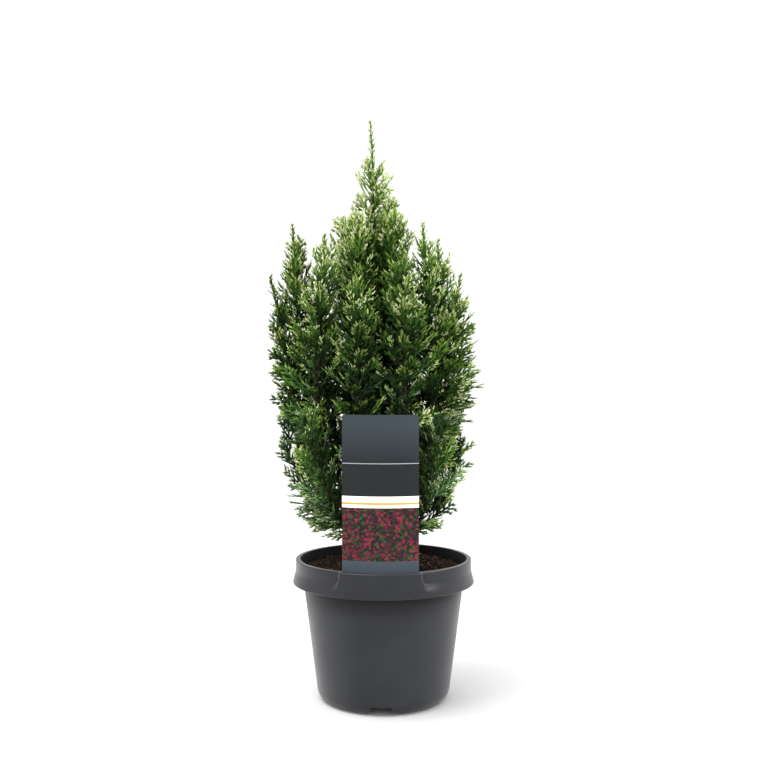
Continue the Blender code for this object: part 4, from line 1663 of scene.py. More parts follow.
@dataclass(frozen=True)
class ToneRule:
    """How pale shoots are: paler high up, to the right and on the outside of the crown, bluer low down. Most
    of it is painted light and shade: the lit top, right side and outside paler, the shaded middle and inside
    darker, and the shaded foot bluer.
    """

    # Painted light and shade by height: darkest at the crown's middle, which the front leaders shade
    heights: Row = (0.16, 0.28, 0.34, 0.44, 0.54)
    levels: Row = (0.52, 0.34, 0.22, 0.35, 0.60)
    # Painted shade towards the crown's inside, and painted light on its outside and its right side
    inner_heights: Row = (0.15, 0.30, 0.45, 0.52)
    inner_radii: Row = (0.045, 0.055, 0.035, 0.0)
    outer_depth: float = 0.045
    outer_gain: float = 0.18
    right_reach: float = 0.11
    right_gain: float = 0.06
    tone_spread: float = 0.04
    glow: float = 0.08
    glow_foot: float = 0.16
    glow_rise: float = 0.40
    # Tips high up and on the outside glow more, as painted light
    high_glow: float = 0.14
    outer_glow: float = 0.08
    glow_spread: float = 0.08
    glow_limits: Pair = (0.02, 0.5)
    # Shoots low down take the bluer run of greens, as painted shade
    blue_below: float = 0.20
    blue_fade: float = 0.18
    blue_most: float = 0.8

    def shaded(
        self,
        roots: Array,
        ways: Array,
        flats: Array,
        curls: Array,
        lengths: Array,
        rng: Random,
        paler: float = 0.0,
    ) -> Shoots:
        """Makes shoots and gives them their tones.

        Args:
            roots: Where they start.
            ways: Their directions there.
            flats: The directions that their sprays face.
            curls: How they bend, as a share of their length.
            lengths: How long they are.
            rng: The random numbers.
            paler: Added to every tone.

        Returns:
            The shoots.
        """
        tips = roots + ways * lengths[:, None]
        height = np.clip((tips[:, 2] - self.glow_foot) / self.glow_rise, 0.0, 1.0)
        inner = np.interp(tips[:, 2], self.inner_heights, self.inner_radii)
        outside = np.clip((np.hypot(tips[:, 0], tips[:, 1]) - inner) / self.outer_depth, 0.0, 1.0)
        right = np.clip(tips[:, 0] / self.right_reach, -1.0, 1.0)
        count = len(lengths)
        tones = np.interp(tips[:, 2], self.heights, self.levels) + self.outer_gain * outside
        tones = tones + self.right_gain * right + rng.normal(0.0, self.tone_spread, count) + paler
        glows = self.glow + self.high_glow * height + self.outer_glow * outside
        glows = np.clip(glows + rng.normal(0.0, self.glow_spread, count), *self.glow_limits)
        shade = 1.0 - smooth_step((tips[:, 2] - self.blue_below) / self.blue_fade)
        hues = (rng.random(count) < self.blue_most * shade).astype(int)
        return Shoots(roots, ways, flats, curls, lengths, tones, glows, hues, np.arange(count))


@dataclass
class Mass:
    """One mass of foliage: the line that its bough and stem follow, and how far its twigs reach from it.

    Its mouth is the distance along the line where the bough ends and the mass begins. With no bough it is 0.
    """

    name: str
    whole: Path
    mouth: float
    girth: float
    foot_thickness: float
    bare_tip: float = 0.036
    heading: Optional[float] = None
    stem_tip: float = 0.0006
    stem_step: float = 0.004
    ceiling: float = 0.0
    mingle: float = 0.005
    reach_peak: float = 0.22
    reach_power: float = 1.35
    taper: float = 0.86
    twig_spacing: float = 0.0034
    twig_lowest: float = 0.008
    twig_lengths: Pair = (0.80, 1.03)
    turn_jitter: float = 16.0
    angle_low: float = 48.0
    angle_high: float = 25.0
    angle_jitter: float = 5.0
    bend_heights: Row = (0.17, 0.21, 0.28, 0.40)
    bends: Row = (-0.02, -0.10, -0.10, 0.10)
    pull_heights: Row = (0.22, 0.30, 0.40)
    pulls: Row = (1.0, 0.75, 0.0)
    pull_sideways: float = 0.4
    spike_pitch: float = 0.0022
    tip_spike_pitch: float = 0.0020
    spike_angles: Pair = (26.0, 52.0)
    spike_least: float = 0.0028
    spike_gain: float = 0.22
    spike_most: float = 0.0125
    spike_lengths: Pair = (0.75, 1.2)
    # Spikes along the stem are darker, as painted shade inside the mass; those on its bare tip are paler
    spike_tones: Pair = (-0.10, 0.06)
    inner_spread: float = 48.0
    inner_pitch: float = 0.0044
    inner_jitter: float = 0.002
    inner_heights: Pair = (0.0, 0.0)
    inner_angles: Pair = (24.0, 44.0)
    inner_lengths: Pair = (0.026, 0.044)
    # Twigs from the main stem, deep in the crown, are darker as painted shade
    inner_tone: float = -0.04
    tones: ToneRule = ToneRule()
    stem: Path = field(init=False)
    across: Array = field(init=False)

    def __post_init__(self) -> None:
        """Works out the stem inside the mass and the direction across it."""
        start = self.mouth + 0.0003 if self.mouth else 0.0
        self.stem = self.whole.stretch(start, self.whole.length, self.stem_step)
        outward = self.whole.points[-1] - self.whole.points[0]
        self.across = unit(np.array((-outward[1], outward[0], 0.0)))

    @property
    def tip_start(self) -> float:
        """How far along the stem its bare tip begins."""
        return self.stem.length - self.bare_tip

    def thickness(self, distances: Array) -> Array:
        """The radius of bough or stem at distances along the whole line."""
        return self.foot_thickness + (self.stem_tip - self.foot_thickness) * distances / self.whole.length

    def reach(self, shares: Array) -> Array:
        """How far the foliage stands out at shares of the stem: full low down, narrow on top."""
        fall = np.clip((shares - self.reach_peak) / (1.0 - self.reach_peak), 0.0, 1.0)
        return self.girth * (1.0 - self.taper * fall**self.reach_power)

    def around(self, ways: Array, turns: Array) -> Array:
        """Directions square to the stem.

        Args:
            ways: The stem's direction, one to a row.
            turns: How far round it each is, in radians.

        Returns:
            A unit direction for each.
        """
        side = unit(self.across - ways * dot(np.broadcast_to(self.across, ways.shape), ways))
        other = np.cross(ways, side)
        return side * np.cos(turns)[:, None] + other * np.sin(turns)[:, None]

    def twigs(self, rng: Random) -> Shoots:
        """The twigs on the mass's stem, by the source's rule: wound by the golden angle, wide low down.

        Args:
            rng: The random numbers.

        Returns:
            The twigs, out to the mass's reach.
        """
        first_turn = rng.uniform(0.0, 360.0)
        span = self.tip_start - self.twig_lowest
        count = max(8, round(span / self.twig_spacing))
        order = np.arange(count)
        runs = self.twig_lowest + span * (order + 0.3) / count
        shares = runs / self.stem.length
        roots, stem_ways = self.stem.at(runs)
        jitter = rng.uniform(-1.0, 1.0, count) * self.turn_jitter
        outward = self.around(stem_ways, np.radians(first_turn + GOLDEN_TURN * order + jitter))
        angles = self.angle_low + (self.angle_high - self.angle_low) * shares
        angles = np.radians(angles + rng.uniform(-1.0, 1.0, count) * self.angle_jitter)[:, None]
        ways = stem_ways * np.cos(angles) + outward * np.sin(angles)
        level = unit((roots - Crown.middle) * (1.0, 1.0, 0.0))
        facing = np.clip(dot(outward, level) + self.pull_sideways, 0.0, 1.0)
        pull = np.interp(roots[:, 2], self.pull_heights, self.pulls)[:, None] * facing
        ways = unit(ways + level * pull)
        twist = stem_ways * rng.uniform(-1.3, 1.3, (count, 1))
        flats = unit(np.cross(np.cross(stem_ways, outward) + twist, ways))
        lengths = self.reach(shares) / np.sin(angles[:, 0]) * rng.uniform(*self.twig_lengths, count)
        bend = np.interp(roots[:, 2], self.bend_heights, self.bends)[:, None]
        curls = (UP - ways * dot(np.broadcast_to(UP, ways.shape), ways)) * bend
        return self.tones.shaded(roots, ways, flats, curls, lengths, rng)

    def spikes(self, rng: Random) -> Shoots:
        """Short shoots close along the stem, which hide its wood and grow shorter to its tip.

        Args:
            rng: The random numbers.

        Returns:
            The short shoots.
        """
        lower = np.arange(0.004, self.tip_start, self.spike_pitch)
        upper = np.arange(self.tip_start, self.stem.length - 0.002, self.tip_spike_pitch)
        runs = np.concatenate((lower, upper))
        roots, stem_ways = self.stem.at(runs)
        turns = np.radians(rng.uniform(0.0, 360.0) + GOLDEN_TURN * np.arange(len(runs)))
        outward = self.around(stem_ways, turns)
        angles = np.radians(rng.uniform(*self.spike_angles, len(runs)))[:, None]
        ways = stem_ways * np.cos(angles) + outward * np.sin(angles)
        lengths = np.minimum(self.spike_least + self.spike_gain * (self.stem.length - runs), self.spike_most)
        lengths = lengths * rng.uniform(*self.spike_lengths, len(runs))
        flats = unit(np.cross(np.cross(stem_ways, outward), ways))
        shoots = self.tones.shaded(roots, ways, flats, stem_ways * 0.08, lengths, rng)
        low, high = self.spike_tones
        shoots.tones += np.where(runs > self.tip_start, high, low)
        return shoots

    def stem_twigs(self, stem: MainStem, rng: Random) -> Shoots:
        """The twigs that start on the main stem itself, on the mass's side.

        Args:
            stem: The main stem.
            rng: The random numbers.

        Returns:
            The twigs.
        """
        heights = np.arange(*self.inner_heights, self.inner_pitch)
        heights = heights + rng.uniform(-self.inner_jitter, self.inner_jitter, len(heights))
        roots = np.stack([stem.place(height) for height in heights])
        spread = rng.uniform(-self.inner_spread, self.inner_spread, len(heights))
        outward = np.stack([compass(self.heading + turn) for turn in spread])
        angles = np.radians(rng.uniform(*self.inner_angles, len(heights)))[:, None]
        ways = UP * np.cos(angles) + outward * np.sin(angles)
        twist = UP * rng.uniform(-0.9, 0.9, (len(heights), 1))
        flats = unit(np.cross(np.cross(UP, outward) + twist, ways))
        lengths = rng.uniform(*self.inner_lengths, len(heights))
        return self.tones.shaded(roots, ways, flats, ways * 0.0, lengths, rng, self.inner_tone)

    def leader_tip(self, rng: Random) -> Shoots:
        """The leaf-covered end of the stem.

        Args:
            rng: The random numbers.

        Returns:
            Two crossed shoots, so that it looks round.
        """
        root, _ = self.stem.at(np.full(2, self.tip_start))
        run = self.stem.points[-1] - root
        ways = unit(run)
        flats = self.around(ways, 0.3 + np.array((0.0, math.pi / 2.0)))
        lengths = np.linalg.norm(run, axis=1) - 0.001
        return self.tones.shaded(root, ways, flats, np.zeros((2, 3)), lengths, rng, 0.05)


@dataclass
class Crown:
    """All the masses, with the space that each one keeps to.

    A point belongs to the mass whose stem is nearest, measured in that mass's girths. It is also clear of
    the main stem, the boughs, the label, the pot and the peat.
    """

    masses: Sequence[Mass]
    stem: MainStem
    label: Label
    middle: Place = (-0.009, 0.0, 0.0)
    outline_heights: Row = (
        0.150, 0.165, 0.178, 0.190, 0.215, 0.240, 0.300, 0.350,
        0.400, 0.496, 0.504, 0.520, 0.545, 0.558, 0.568, 0.585,
    )
    outline_radii: Row = (
        0.053, 0.060, 0.073, 0.083, 0.094, 0.101, 0.108, 0.112,
        0.112, 0.107, 0.029, 0.027, 0.028, 0.023, 0.012, 0.008,
    )
    raggedness: Ripple = Ripple(0.024, 0.055, 5)
    front_squeeze: float = 1.14
    behind_label: float = 0.0026
    beside_label: float = 0.006
    above_label: float = 0.004
    above_rim: float = 0.003
    inside_lip: float = 0.004
    above_peat: float = 0.004
    limb_step: float = 0.002
    points: Array = field(init=False)
    owner: Array = field(init=False)
    girths: Array = field(init=False)
    limbs: Array = field(init=False)

    def __post_init__(self) -> None:
        """Gathers the masses' stems and the limbs that foliage has to keep clear of."""
        self.points = np.concatenate([mass.stem.points for mass in self.masses])
        sizes = [len(mass.stem.points) for mass in self.masses]
        self.owner = np.repeat(np.arange(len(sizes)), sizes)
        self.girths = np.array([mass.girth for mass in self.masses])[self.owner]
        heights = np.arange(self.stem.foot, self.stem.top, self.limb_step)
        limbs = [np.array([(*self.stem.place(height), self.stem.radius(height)) for height in heights])]
        for mass in self.masses:
            if mass.mouth:
                bough = mass.whole.stretch(0.0, mass.mouth, self.limb_step).points
                limbs.append(np.column_stack((bough, np.full(len(bough), mass.foot_thickness))))
        self.limbs = np.concatenate(limbs)

    def is_free(self, points: Array, index: int, overlap: float) -> Array:
        """Whether each point may carry foliage of a mass. Many points are taken in halves, to save memory.

        Args:
            points: The points, one to a row.
            index: The mass's number.
            overlap: How far it may stand into its neighbours' space.

        Returns:
            A yes or no for each point.
        """
        if len(points) > 4000:
            return np.concatenate([self.is_free(half, index, overlap) for half in np.array_split(points, 2)])
        away = np.linalg.norm(points[:, None] - self.points[None], axis=2) / self.girths
        own = self.owner == index
        slack = (away[:, ~own].min(axis=1) - away[:, own].min(axis=1)) * self.masses[index].girth / 2.0
        from_limbs = np.linalg.norm(points[:, None] - self.limbs[None, :, :3], axis=2) - self.limbs[:, 3]
        fits = (slack > -overlap) & (from_limbs.min(axis=1) > 0.0004) & self.in_outline(points)
        return fits & self.clear_of_label(points) & self.clear_of_pot(points)

    def in_outline(self, points: Array) -> Array:
        """Whether each point is within the crown's ragged outline, which is shallower at the front.

        Args:
            points: The points, one to a row.

        Returns:
            A yes or no for each point.
        """
        depth = points[:, 1] * np.where(points[:, 1] < 0.0, self.front_squeeze, 1.0)
        out = np.hypot(points[:, 0] - self.middle[0], depth)
        edge = np.interp(points[:, 2], self.outline_heights, self.outline_radii)
        return out < edge * (1.0 + self.raggedness.at(points))

    def clear_of_label(self, points: Array) -> Array:
        """Whether each point is behind, beside or above the label.

        Args:
            points: The points, one to a row.

        Returns:
            A yes or no for each point.
        """
        label = self.label
        behind = np.hypot(points[:, 0], points[:, 1]) < label.radius - label.thickness - self.behind_label
        middle = label.radius * math.cos(math.radians(label.front))
        away = np.abs(points[:, 0] - middle)
        beside = (away > label.width / 2.0 + self.beside_label) | (points[:, 1] > 0.0)
        return behind | beside | (points[:, 2] > label.top + self.above_label)

    def clear_of_pot(self, points: Array) -> Array:
        """Whether each point is above the pot's rim, or inside it and above the peat.

        Args:
            points: The points, one to a row.

        Returns:
            A yes or no for each point.
        """
        soil = self.stem.soil
        within = np.hypot(points[:, 0], points[:, 1]) < soil.pot.lip_radius - self.inside_lip
        inside = within & (points[:, 2] > soil.top + self.above_peat)
        return (points[:, 2] > soil.pot.height + self.above_rim) | inside


@dataclass(frozen=True)
class SideShootRule:
    """How side shoots sit on a twig: alternate, longest a little below the middle."""

    pitch: float = 0.0038
    jitter: float = 0.22
    first: float = 0.0035
    most: float = 0.0185
    most_share: float = 0.44
    low_size: float = 0.55
    size_rise: float = 0.45
    rise_span: Pair = (0.1, 0.3)
    size_fall: float = 0.74
    fall_span: Pair = (0.40, 0.60)
    fall_power: float = 1.25
    size_spread: Pair = (0.88, 1.10)
    end: float = 0.002
    angle: float = 36.0
    angle_spread: float = 3.5
    tilt_spread: float = 10.0
    curl: float = 0.12
    pale_twigs: float = 0.22
    pale_tone: float = 0.05
    pale_glow: float = 0.14
    # Paler out towards the twig's end, and darker towards its root as painted shade inside the mass
    outer_tone: float = 0.30
    tone_spread: float = 0.05
    glow_spread: Pair = (0.3, 1.9)

    def grown(self, twigs: Shoots, rng: Random) -> Shoots:
        """Grows the side shoots of twigs.

        Args:
            twigs: The twigs.
            rng: The random numbers.

        Returns:
            The side shoots, not yet fitted to the space.
        """
        most = int(twigs.lengths.max() / self.pitch) + 1
        shape = (len(twigs), most)
        order = np.arange(most)[None]
        places = order + rng.uniform(-self.jitter, self.jitter, shape)
        span = twigs.lengths[:, None]
        runs = np.maximum(self.first, span * 0.14) + places * self.pitch
        shares = runs / span
        hands = np.where((order + rng.integers(0, 2, (len(twigs), 1))) % 2 == 0, 1.0, -1.0)
        (rise_start, rise_run), (fall_start, fall_run) = self.rise_span, self.fall_span
        rise = self.low_size + self.size_rise * np.clip((shares - rise_start) / rise_run, 0.0, 1.0)
        fall = np.clip((shares - fall_start) / fall_run, 0.0, 1.0) ** self.fall_power
        sizes = np.minimum(self.most, span * self.most_share) * rise * (1.0 - self.size_fall * fall)
        sizes = sizes * rng.uniform(*self.size_spread, shape)
        sizes = np.where((runs < span - self.end) & (sizes > 0.0022), sizes, 0.0)
        angles = self.angle + rng.normal(0.0, self.angle_spread, shape)
        tilts = rng.normal(0.0, self.tilt_spread, shape)
        pale = rng.random((len(twigs), 1)) < self.pale_twigs
        tones = twigs.tones[:, None] + self.outer_tone * (shares - 0.5) + self.pale_tone * pale
        tones = tones + rng.normal(0.0, self.tone_spread, shape)
        glows = twigs.glows[:, None] * rng.uniform(*self.glow_spread, shape) + self.pale_glow * pale * shares
        shares = np.clip(shares, 0.0, 1.0)
        return twigs.branched(shares, hands, sizes, angles, tilts, self.curl, tones, glows)


@dataclass(frozen=True)
class LobeRule:
    """How small lobes sit on the outer half of a long side shoot, one to each hand."""

    bearing: float = 0.0105
    places: Pair = (0.42, 0.64)
    jitter: float = 0.06
    size: Pair = (0.26, 0.42)
    most: float = 0.0058
    angle: float = 36.0
    angle_spread: float = 5.0
    tilt_spread: float = 10.0
    curl: float = 0.12
    paler: float = 0.04
    tone_spread: float = 0.03
    glow_spread: Pair = (0.7, 1.5)

    def grown(self, shoots: Shoots, rng: Random) -> Shoots:
        """Grows the lobes of side shoots.

        Args:
            shoots: The side shoots.
            rng: The random numbers.

        Returns:
            The lobes, paler than the shoots that carry them.
        """
        bearing = shoots.kept(shoots.lengths > self.bearing)
        shape = (len(bearing), 2)
        shares = np.array(self.places)[None] + rng.uniform(-self.jitter, self.jitter, shape)
        hand = np.where(rng.random((len(bearing), 1)) < 0.5, 1.0, -1.0)
        hands = hand * np.array((1.0, -1.0))[None]
        sizes = np.minimum(bearing.lengths[:, None] * rng.uniform(*self.size, shape), self.most)
        angles = self.angle + rng.normal(0.0, self.angle_spread, shape)
        tilts = rng.normal(0.0, self.tilt_spread, shape)
        tones = bearing.tones[:, None] + self.paler + rng.normal(0.0, self.tone_spread, shape)
        glows = bearing.glows[:, None] * rng.uniform(*self.glow_spread, shape)
        return bearing.branched(shares, hands, sizes, angles, tilts, self.curl, tones, glows)


@dataclass(frozen=True)
class LeaderPlan:
    """Where one upright leader's tip stands, and how wide its foliage is."""

    name: str
    azimuth: float
    radius: float
    height: float
    girth: float


@dataclass(frozen=True)
class SkirtPlan:
    """Where the tip of one short bough near the foot stands."""

    azimuth: float
    radius: float
    height: float


@dataclass
class Foliage:
    """The boughs, twigs and leaves of the whole plant, grown mass by mass."""

    stem: MainStem
    label: Label
    leaders: tuple[LeaderPlan, ...] = (
        LeaderPlan("far_left", 188, 0.106, 0.440, 0.035),
        LeaderPlan("left", 165, 0.088, 0.500, 0.037),
        LeaderPlan("left_front", 225, 0.065, 0.479, 0.036),
        LeaderPlan("front_left", 260, 0.066, 0.447, 0.035),
        LeaderPlan("front_right", 298, 0.064, 0.470, 0.035),
        LeaderPlan("right_front", 330, 0.061, 0.494, 0.034),
        LeaderPlan("far_right", 347, 0.095, 0.440, 0.034),
        LeaderPlan("right", 10, 0.072, 0.483, 0.034),
        LeaderPlan("low_right", 28, 0.108, 0.400, 0.035),
        LeaderPlan("back_right", 62, 0.076, 0.462, 0.037),
        LeaderPlan("back", 98, 0.078, 0.474, 0.038),
        LeaderPlan("back_left", 132, 0.088, 0.451, 0.038),
    )
    leader_foot: float = 0.160
    leader_foot_rise: float = 0.0050
    leader_stride: int = 5
    leader_mouth_radius: float = 0.034
    leader_mouth_rise: float = 0.052
    leader_waist: Pair = (0.072, 0.300)
    leader_thickness: float = 0.0026
    skirt: tuple[SkirtPlan, ...] = (
        SkirtPlan(3, 0.104, 0.262),
        SkirtPlan(46, 0.098, 0.270),
        SkirtPlan(90, 0.098, 0.264),
        SkirtPlan(136, 0.100, 0.272),
        SkirtPlan(181, 0.103, 0.258),
        SkirtPlan(225, 0.099, 0.268),
        SkirtPlan(270, 0.068, 0.262),
        SkirtPlan(317, 0.096, 0.266),
    )
    skirt_foot: float = 0.148
    skirt_foot_rise: float = 0.0012
    skirt_stride: int = 3
    skirt_middle_out: float = 0.52
    skirt_middle_up: float = 0.27
    skirt_mouth: Pair = (0.026, 0.167)
    shoulder_count: int = 4
    shoulder_turn: float = 60.0
    shoulder_foot: float = 0.238
    shoulder_foot_rise: float = 0.022
    shoulder_spread: float = 0.030
    shoulder_tip: float = 0.500
    top_height: float = 0.6045
    inner_drop: float = 0.03
    inner_end: float = 0.002
    inner_mingle: float = 0.012
    line_step: float = 0.002
    # The shares of their length at which shoots are tested, and the lengths tried until they fit
    twig_tests: Row = (0.25, 0.45, 0.65, 0.85, 1.0)
    inner_tests: Row = (0.65, 0.85, 1.0)
    shoot_tests: Row = (0.35, 0.7, 1.0)
    spike_tests: Row = (0.5, 1.0)
    shrinks: Row = (1.0, 0.86, 0.72, 0.58, 0.45)
    # How much further than twigs the finer orders may stand into their neighbours' space
    shoot_overlap: float = 0.0025
    spike_overlap: float = 0.002
    lobe_overlap: float = 0.004
    side_shoots: SideShootRule = SideShootRule()
    lobes: LobeRule = LobeRule()
    long_leaves: LeafRule = LeafRule(0.0023, 0.0034, 0.00092, 0.00078)
    short_leaves: LeafRule = LeafRule(0.0021, 0.0029, 0.00085, 0.00068)
    stem_relief: Relief = Relief(Ripple(0.004, 0.06, 3), 8)
    stem_step: float = 0.0035
    bough_relief: Relief = Relief(Ripple(0.0045, 0.07, 11), 24)
    bough_step: float = 0.0016
    seed: int = 2000

    def bough_line(
        self,
        azimuth: float,
        foot: float,
        mouth: Pair,
        others: Sequence[Pair],
    ) -> tuple[Path, float]:
        """A line from the stem's middle through the mouth and on.

        Args:
            azimuth: The way that it heads.
            foot: The height where it leaves the stem.
            mouth: Radius and height where the bough enters its mass.
            others: Radius and height of each further place.

        Returns:
            The path, and the distance along it to the mouth.
        """
        places = [self.stem.place(foot)]
        places += [self.stem.beside(azimuth, radius, height) for radius, height in (mouth, *others)]
        path = Path.through(places, self.line_step)
        nearest = int(np.argmin(np.linalg.norm(path.points - places[1], axis=1)))
        return path, float(path.runs[nearest])

    def leader_masses(self) -> list[Mass]:
        """Draws the upright leaders.

        Returns:
            Their masses.
        """
        masses = []
        for order, plan in enumerate(self.leaders):
            step = order * self.leader_stride % len(self.leaders)
            foot = self.leader_foot + self.leader_foot_rise * step
            mouth = (self.leader_mouth_radius, foot + self.leader_mouth_rise)
            further = (self.leader_waist, (plan.radius, plan.height))
            path, at = self.bough_line(plan.azimuth, foot, mouth, further)
            masses.append(Mass("leader_" + plan.name, path, at, plan.girth, self.leader_thickness))
        return masses

    def skirt_masses(self) -> list[Mass]:
        """Draws the short boughs near the foot.

        Returns:
            Their masses.
        """
        masses = []
        start, low = self.skirt_mouth
        for k, plan in enumerate(self.skirt):
            foot = self.skirt_foot + self.skirt_foot_rise * ((k * self.skirt_stride) % len(self.skirt))
            radius, height = plan.radius - 0.006, plan.height + 0.010
            out, up = self.skirt_middle_out, self.skirt_middle_up
            middle = (start + (radius - start) * out, low + (height - low) * up)
            path, at = self.bough_line(plan.azimuth, foot, self.skirt_mouth, (middle, (radius, height)))
            masses.append(
                Mass(
                    f"skirt_{k + 1}", path, at, girth=0.040, foot_thickness=0.0022, bare_tip=0.010,
                    taper=0.45, heading=plan.azimuth, ceiling=0.040, mingle=0.015, inner_pitch=0.0075,
                    inner_heights=(0.172, 0.262), inner_lengths=(0.034, 0.060),
                )
            )
        return masses

    def shoulder_masses(self) -> list[Mass]:
        """Draws the masses that sit on the upper stem itself.

        Returns:
            The masses.
        """
        masses = []
        for k in range(self.shoulder_count):
            azimuth = self.shoulder_turn + 360.0 * k / self.shoulder_count
            foot = self.shoulder_foot + self.shoulder_foot_rise * k
            halfway, out = (foot + self.shoulder_tip) / 2.0, self.shoulder_spread * 0.8
            middle = self.stem.beside(azimuth, out, halfway)
            tip = self.stem.beside(azimuth, self.shoulder_spread, self.shoulder_tip)
            path = Path.through([self.stem.place(foot), middle, tip], self.line_step)
            masses.append(
                Mass(
                    f"shoulder_{k + 1}", path, 0.0, girth=0.030, foot_thickness=self.stem.top_radius,
                    bare_tip=0.009, taper=0.45, heading=azimuth, ceiling=0.012,
                    inner_heights=(foot - self.inner_drop, self.stem.top - self.inner_end),
                )
            )
        return masses

    def top_mass(self) -> Mass:
        """Draws the leading shoot, above the stem's end.

        Returns:
            Its mass.
        """
        foot = self.stem.place(self.stem.top)
        tip = np.array((self.stem.lean - 0.001, 0.0, self.top_height))
        middle = (foot + tip) / 2.0 + np.array((0.003, 0.0, 0.0))
        path = Path.through([foot, middle, tip], self.line_step)
        inner = (self.stem.top - self.inner_drop, self.stem.top - self.inner_end)
        return Mass(
            "top", path, 0.0, girth=0.029, foot_thickness=self.stem.top_radius, bare_tip=0.063, taper=0.50,
            heading=0.0, mingle=0.010, twig_lowest=0.002, angle_low=52.0, spike_gain=0.16,
            tip_spike_pitch=0.0026, inner_heights=inner, inner_spread=180.0, inner_pitch=0.0016,
        )

    def fitted(
        self, crown: Crown, index: int, shoots: Shoots, shares: Sequence[float], overlap: float
    ) -> Shoots:
        """Shortens shoots until they keep to their mass's space, and drops those that can't.

        Args:
            crown: The crown that says what is free.
            index: The mass's number.
            shoots: The shoots to fit.
            shares: Where along each one to test.
            overlap: How far it may stand into its neighbours' space.

        Returns:
            The shoots that fit.
        """
        mass = crown.masses[index]
        ceiling = mass.whole.points[-1, 2] + mass.ceiling
        scale = np.zeros(len(shoots))
        for shrink in self.shrinks:
            open_ones = np.flatnonzero(scale == 0.0)
            if len(open_ones) == 0:
                break
            tried = shoots.kept(open_ones)
            tried.lengths = tried.lengths * shrink
            points, _, _ = tried.at(np.broadcast_to(np.array(shares), (len(tried), len(shares))))
            free = crown.is_free(points.reshape(-1, 3), index, overlap).reshape(len(tried), -1).all(axis=1)
            free &= points[:, -1, 2] < ceiling
            scale[open_ones[free]] = shrink
        shoots.lengths = shoots.lengths * scale
        return shoots.kept(scale > 0.0)

    def stem_wood(self, mass: Mass) -> Shape:
        """The mass's own stem, brown low down and green towards its tip.

        Args:
            mass: The mass.

        Returns:
            The stem's closed shape.
        """
        start = max(0.0, mass.mouth - 0.001)
        path = mass.whole.stretch(start, mass.whole.length - 0.004, self.stem_step)
        shape = self.stem_relief.limb(path, mass.thickness(path.runs + start))
        middles = shape.points[shape.triangles].mean(axis=1)
        to_tip = np.linalg.norm(middles - mass.whole.points[-1], axis=1)
        shape.tints = (to_tip < 0.07).astype(int)
        return shape

    def grow(self, crown: Crown, index: int) -> list[Piece]:
        """Grows one mass.

        Args:
            crown: The crown.
            index: The mass's number.

        Returns:
            The mass's twigs and its leaves, each kind as one piece.
        """
        mass = crown.masses[index]
        rng = np.random.default_rng(self.seed + 17 * index)
        twigs = self.fitted(crown, index, mass.twigs(rng), self.twig_tests, mass.mingle)
        if mass.heading is not None:
            inner = mass.stem_twigs(self.stem, rng)
            inner = self.fitted(crown, index, inner, self.inner_tests, self.inner_mingle)
            twigs = Shoots.joined((twigs, inner))
        offered = self.side_shoots.grown(twigs, rng)
        offered_counts = np.bincount(offered.hosts, minlength=len(twigs))
        shoots = self.fitted(crown, index, offered, self.shoot_tests, mass.mingle + self.shoot_overlap)
        clad = np.bincount(shoots.hosts, minlength=len(twigs)) > 0.45 * offered_counts
        shoots = shoots.kept(clad[shoots.hosts])
        twigs = twigs.kept(clad)
        overlap = mass.mingle + self.spike_overlap
        spikes = self.fitted(crown, index, mass.spikes(rng), self.spike_tests, overlap)
        lobes = self.lobes.grown(shoots, rng)
        ends, _, _ = lobes.at(np.ones((len(lobes), 1)))
        lobes = lobes.kept(crown.is_free(ends[:, 0], index, mass.mingle + self.lobe_overlap))
        tip = mass.leader_tip(rng)
        leaves = self.long_leaves.dress(Shoots.joined((shoots, spikes, tip, twigs.outer(0.25))))
        leaves += self.short_leaves.dress(lobes)
        wood = [self.stem_wood(mass), twigs.wood(thick=0.00080, thin=0.00045, sides=3, steps=3, end=0.6)]
        node = ["foliage_" + mass.name]
        return [
            Shape.joined(wood).piece("twigs_" + mass.name, (INNER_TWIG, OUTER_TWIG), Slot.BARK, node, 60.0),
            Shape.joined(leaves).piece("leaves_" + mass.name, GREENS, Slot.FOLIAGE, node),
        ]

    def bough(self, mass: Mass) -> Piece:
        """The bough that carries a mass, from inside the stem to the mouth.

        Args:
            mass: The mass.

        Returns:
            The bough with its bark, as one piece.
        """
        path = mass.whole.stretch(0.0, mass.mouth, self.bough_step)
        shape = self.bough_relief.limb(path, mass.thickness(path.runs))
        return shape.piece("bough_bark_" + mass.name, [STEM_BARK], Slot.BARK, ["bough_" + mass.name], 50.0)

    def build(self) -> list[Piece]:
        """Grows the crown.

        Returns:
            Every bough, and the twigs and leaves of every mass.
        """
        masses = [*self.leader_masses(), *self.skirt_masses(), *self.shoulder_masses(), self.top_mass()]
        crown = Crown(masses, self.stem, self.label)
        made = [self.bough(mass) for mass in masses if mass.mouth]
        for index in range(len(masses)):
            made += self.grow(crown, index)
        return made


@dataclass(frozen=True)
class SoftBox:
    """A studio light behind a large diffuser."""

    name: str
    place: Place
    aim: Place
    width: float
    height: float
    watts: float
    for_paper: bool = False

    def build(self, receivers: bpy.types.Collection) -> None:
        """Hangs the light and turns it to its aim.

        Args:
            receivers: The collection that says what it lights.
        """
        lamp = bpy.data.lights.new(self.name, "AREA")
        lamp.shape = "RECTANGLE"
        lamp.size = self.width
        lamp.size_y = self.height
        lamp.energy = self.watts
        made = bpy.data.objects.new(self.name, lamp)
        made.location = self.place
        made.rotation_euler = (Vector(self.aim) - Vector(self.place)).to_track_quat("-Z", "Y").to_euler()
        made.light_linking.receiver_collection = receivers
        bpy.context.scene.collection.objects.link(made)


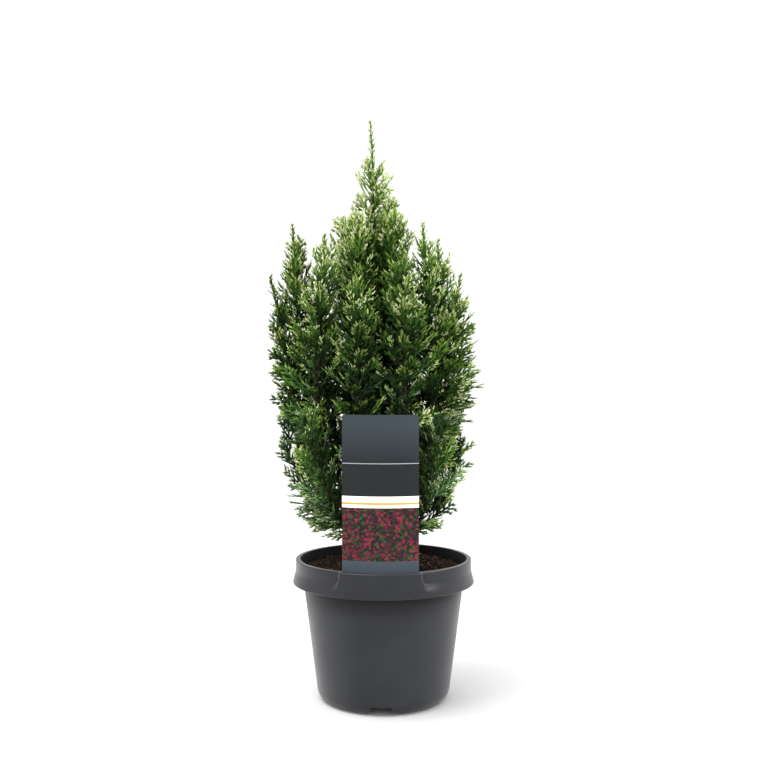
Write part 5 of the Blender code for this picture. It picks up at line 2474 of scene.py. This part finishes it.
@dataclass
class Studio:
    """A white sweep of paper under soft light, and the camera."""

    camera_place: Place = (-0.0005, -1.012, 0.3265)
    lens: float = 45.2
    sensor: float = 36.0
    floor_side: float = 12.0
    sky: float = 1.10
    boxes: tuple[SoftBox, ...] = (
        SoftBox("key_box", (-0.75, -1.05, 1.75), (0.0, 0.0, 0.32), 0.6, 0.6, 47.0),
        SoftBox("side_box", (1.15, -0.45, 1.15), (0.0, 0.0, 0.32), 0.5, 0.8, 32.0),
        SoftBox("left_box", (-1.05, -0.35, 1.8), (0.0, 0.0, 0.15), 0.4, 0.6, 12.0),
        SoftBox("top_box", (0.1, 0.25, 1.9), (0.0, 0.0, 0.35), 0.7, 0.7, 24.0),
        SoftBox("paper_box", (-0.5, -0.3, 1.6), (0.0, 0.0, 0.0), 1.0, 1.0, 15.0, for_paper=True),
    )

    def build(self) -> None:
        """Sets up floor, lights, sky and camera."""
        paper = StudioPaper("studio_paper", "#fcfcfc", 0.9, 1.4)
        side = self.floor_side / 2.0
        corners = [(-side, -side, 0.0), (side, -side, 0.0), (side, side, 0.0), (-side, side, 0.0)]
        mesh = bpy.data.meshes.new("paper_floor")
        mesh.from_pydata(corners, [], [(0, 1, 2, 3)])
        mesh.materials.append(paper.build())
        floor = bpy.data.objects.new("paper_floor", mesh)
        bpy.context.scene.collection.objects.link(floor)
        receivers = {}
        for for_paper, state in ((True, "INCLUDE"), (False, "EXCLUDE")):
            receivers[for_paper] = bpy.data.collections.new("paper_" + state.lower())
            receivers[for_paper].objects.link(floor)
            receivers[for_paper].collection_objects[0].light_linking.link_state = state
        for box in self.boxes:
            box.build(receivers[box.for_paper])
        world = bpy.data.worlds.new("white_room")
        world.use_nodes = True
        world.node_tree.nodes["Background"].inputs["Color"].default_value = (1.0, 1.0, 1.0, 1.0)
        world.node_tree.nodes["Background"].inputs["Strength"].default_value = self.sky
        bpy.context.scene.world = world
        bpy.context.scene.view_settings.view_transform = "Standard"
        camera = bpy.data.cameras.new("photo_camera")
        camera.lens = self.lens
        camera.sensor_width = self.sensor
        made = bpy.data.objects.new("photo_camera", camera)
        made.location = self.camera_place
        made.rotation_euler = (math.radians(90.0), 0.0, 0.0)
        bpy.context.scene.collection.objects.link(made)
        bpy.context.scene.camera = made


def report(pieces: Iterable[Piece]) -> int:
    """Logs each piece.

    Args:
        pieces: The pieces to name.

    Returns:
        How many triangles they have in all.
    """
    total = 0
    for piece in pieces:
        faces = sum(len(polygon.vertices) - 2 for polygon in piece.data.polygons)
        total += faces
        log.info("%s: %d triangles", piece.name, faces)
    return total


def main() -> None:
    """Builds the pot, the label, the peat and the plant, then the studio round them."""
    logging.basicConfig(level=logging.INFO, format="%(message)s")
    pot = Pot()
    label = Label()
    soil = Soil(pot)
    stem = MainStem(soil)
    total = report(pot.build(label))
    for thing in (label, soil, stem, Foliage(stem, label)):
        total += report(thing.build())
    log.info("all pieces: %d triangles", total)
    Studio().build()


if __name__ == "__main__":
    main()
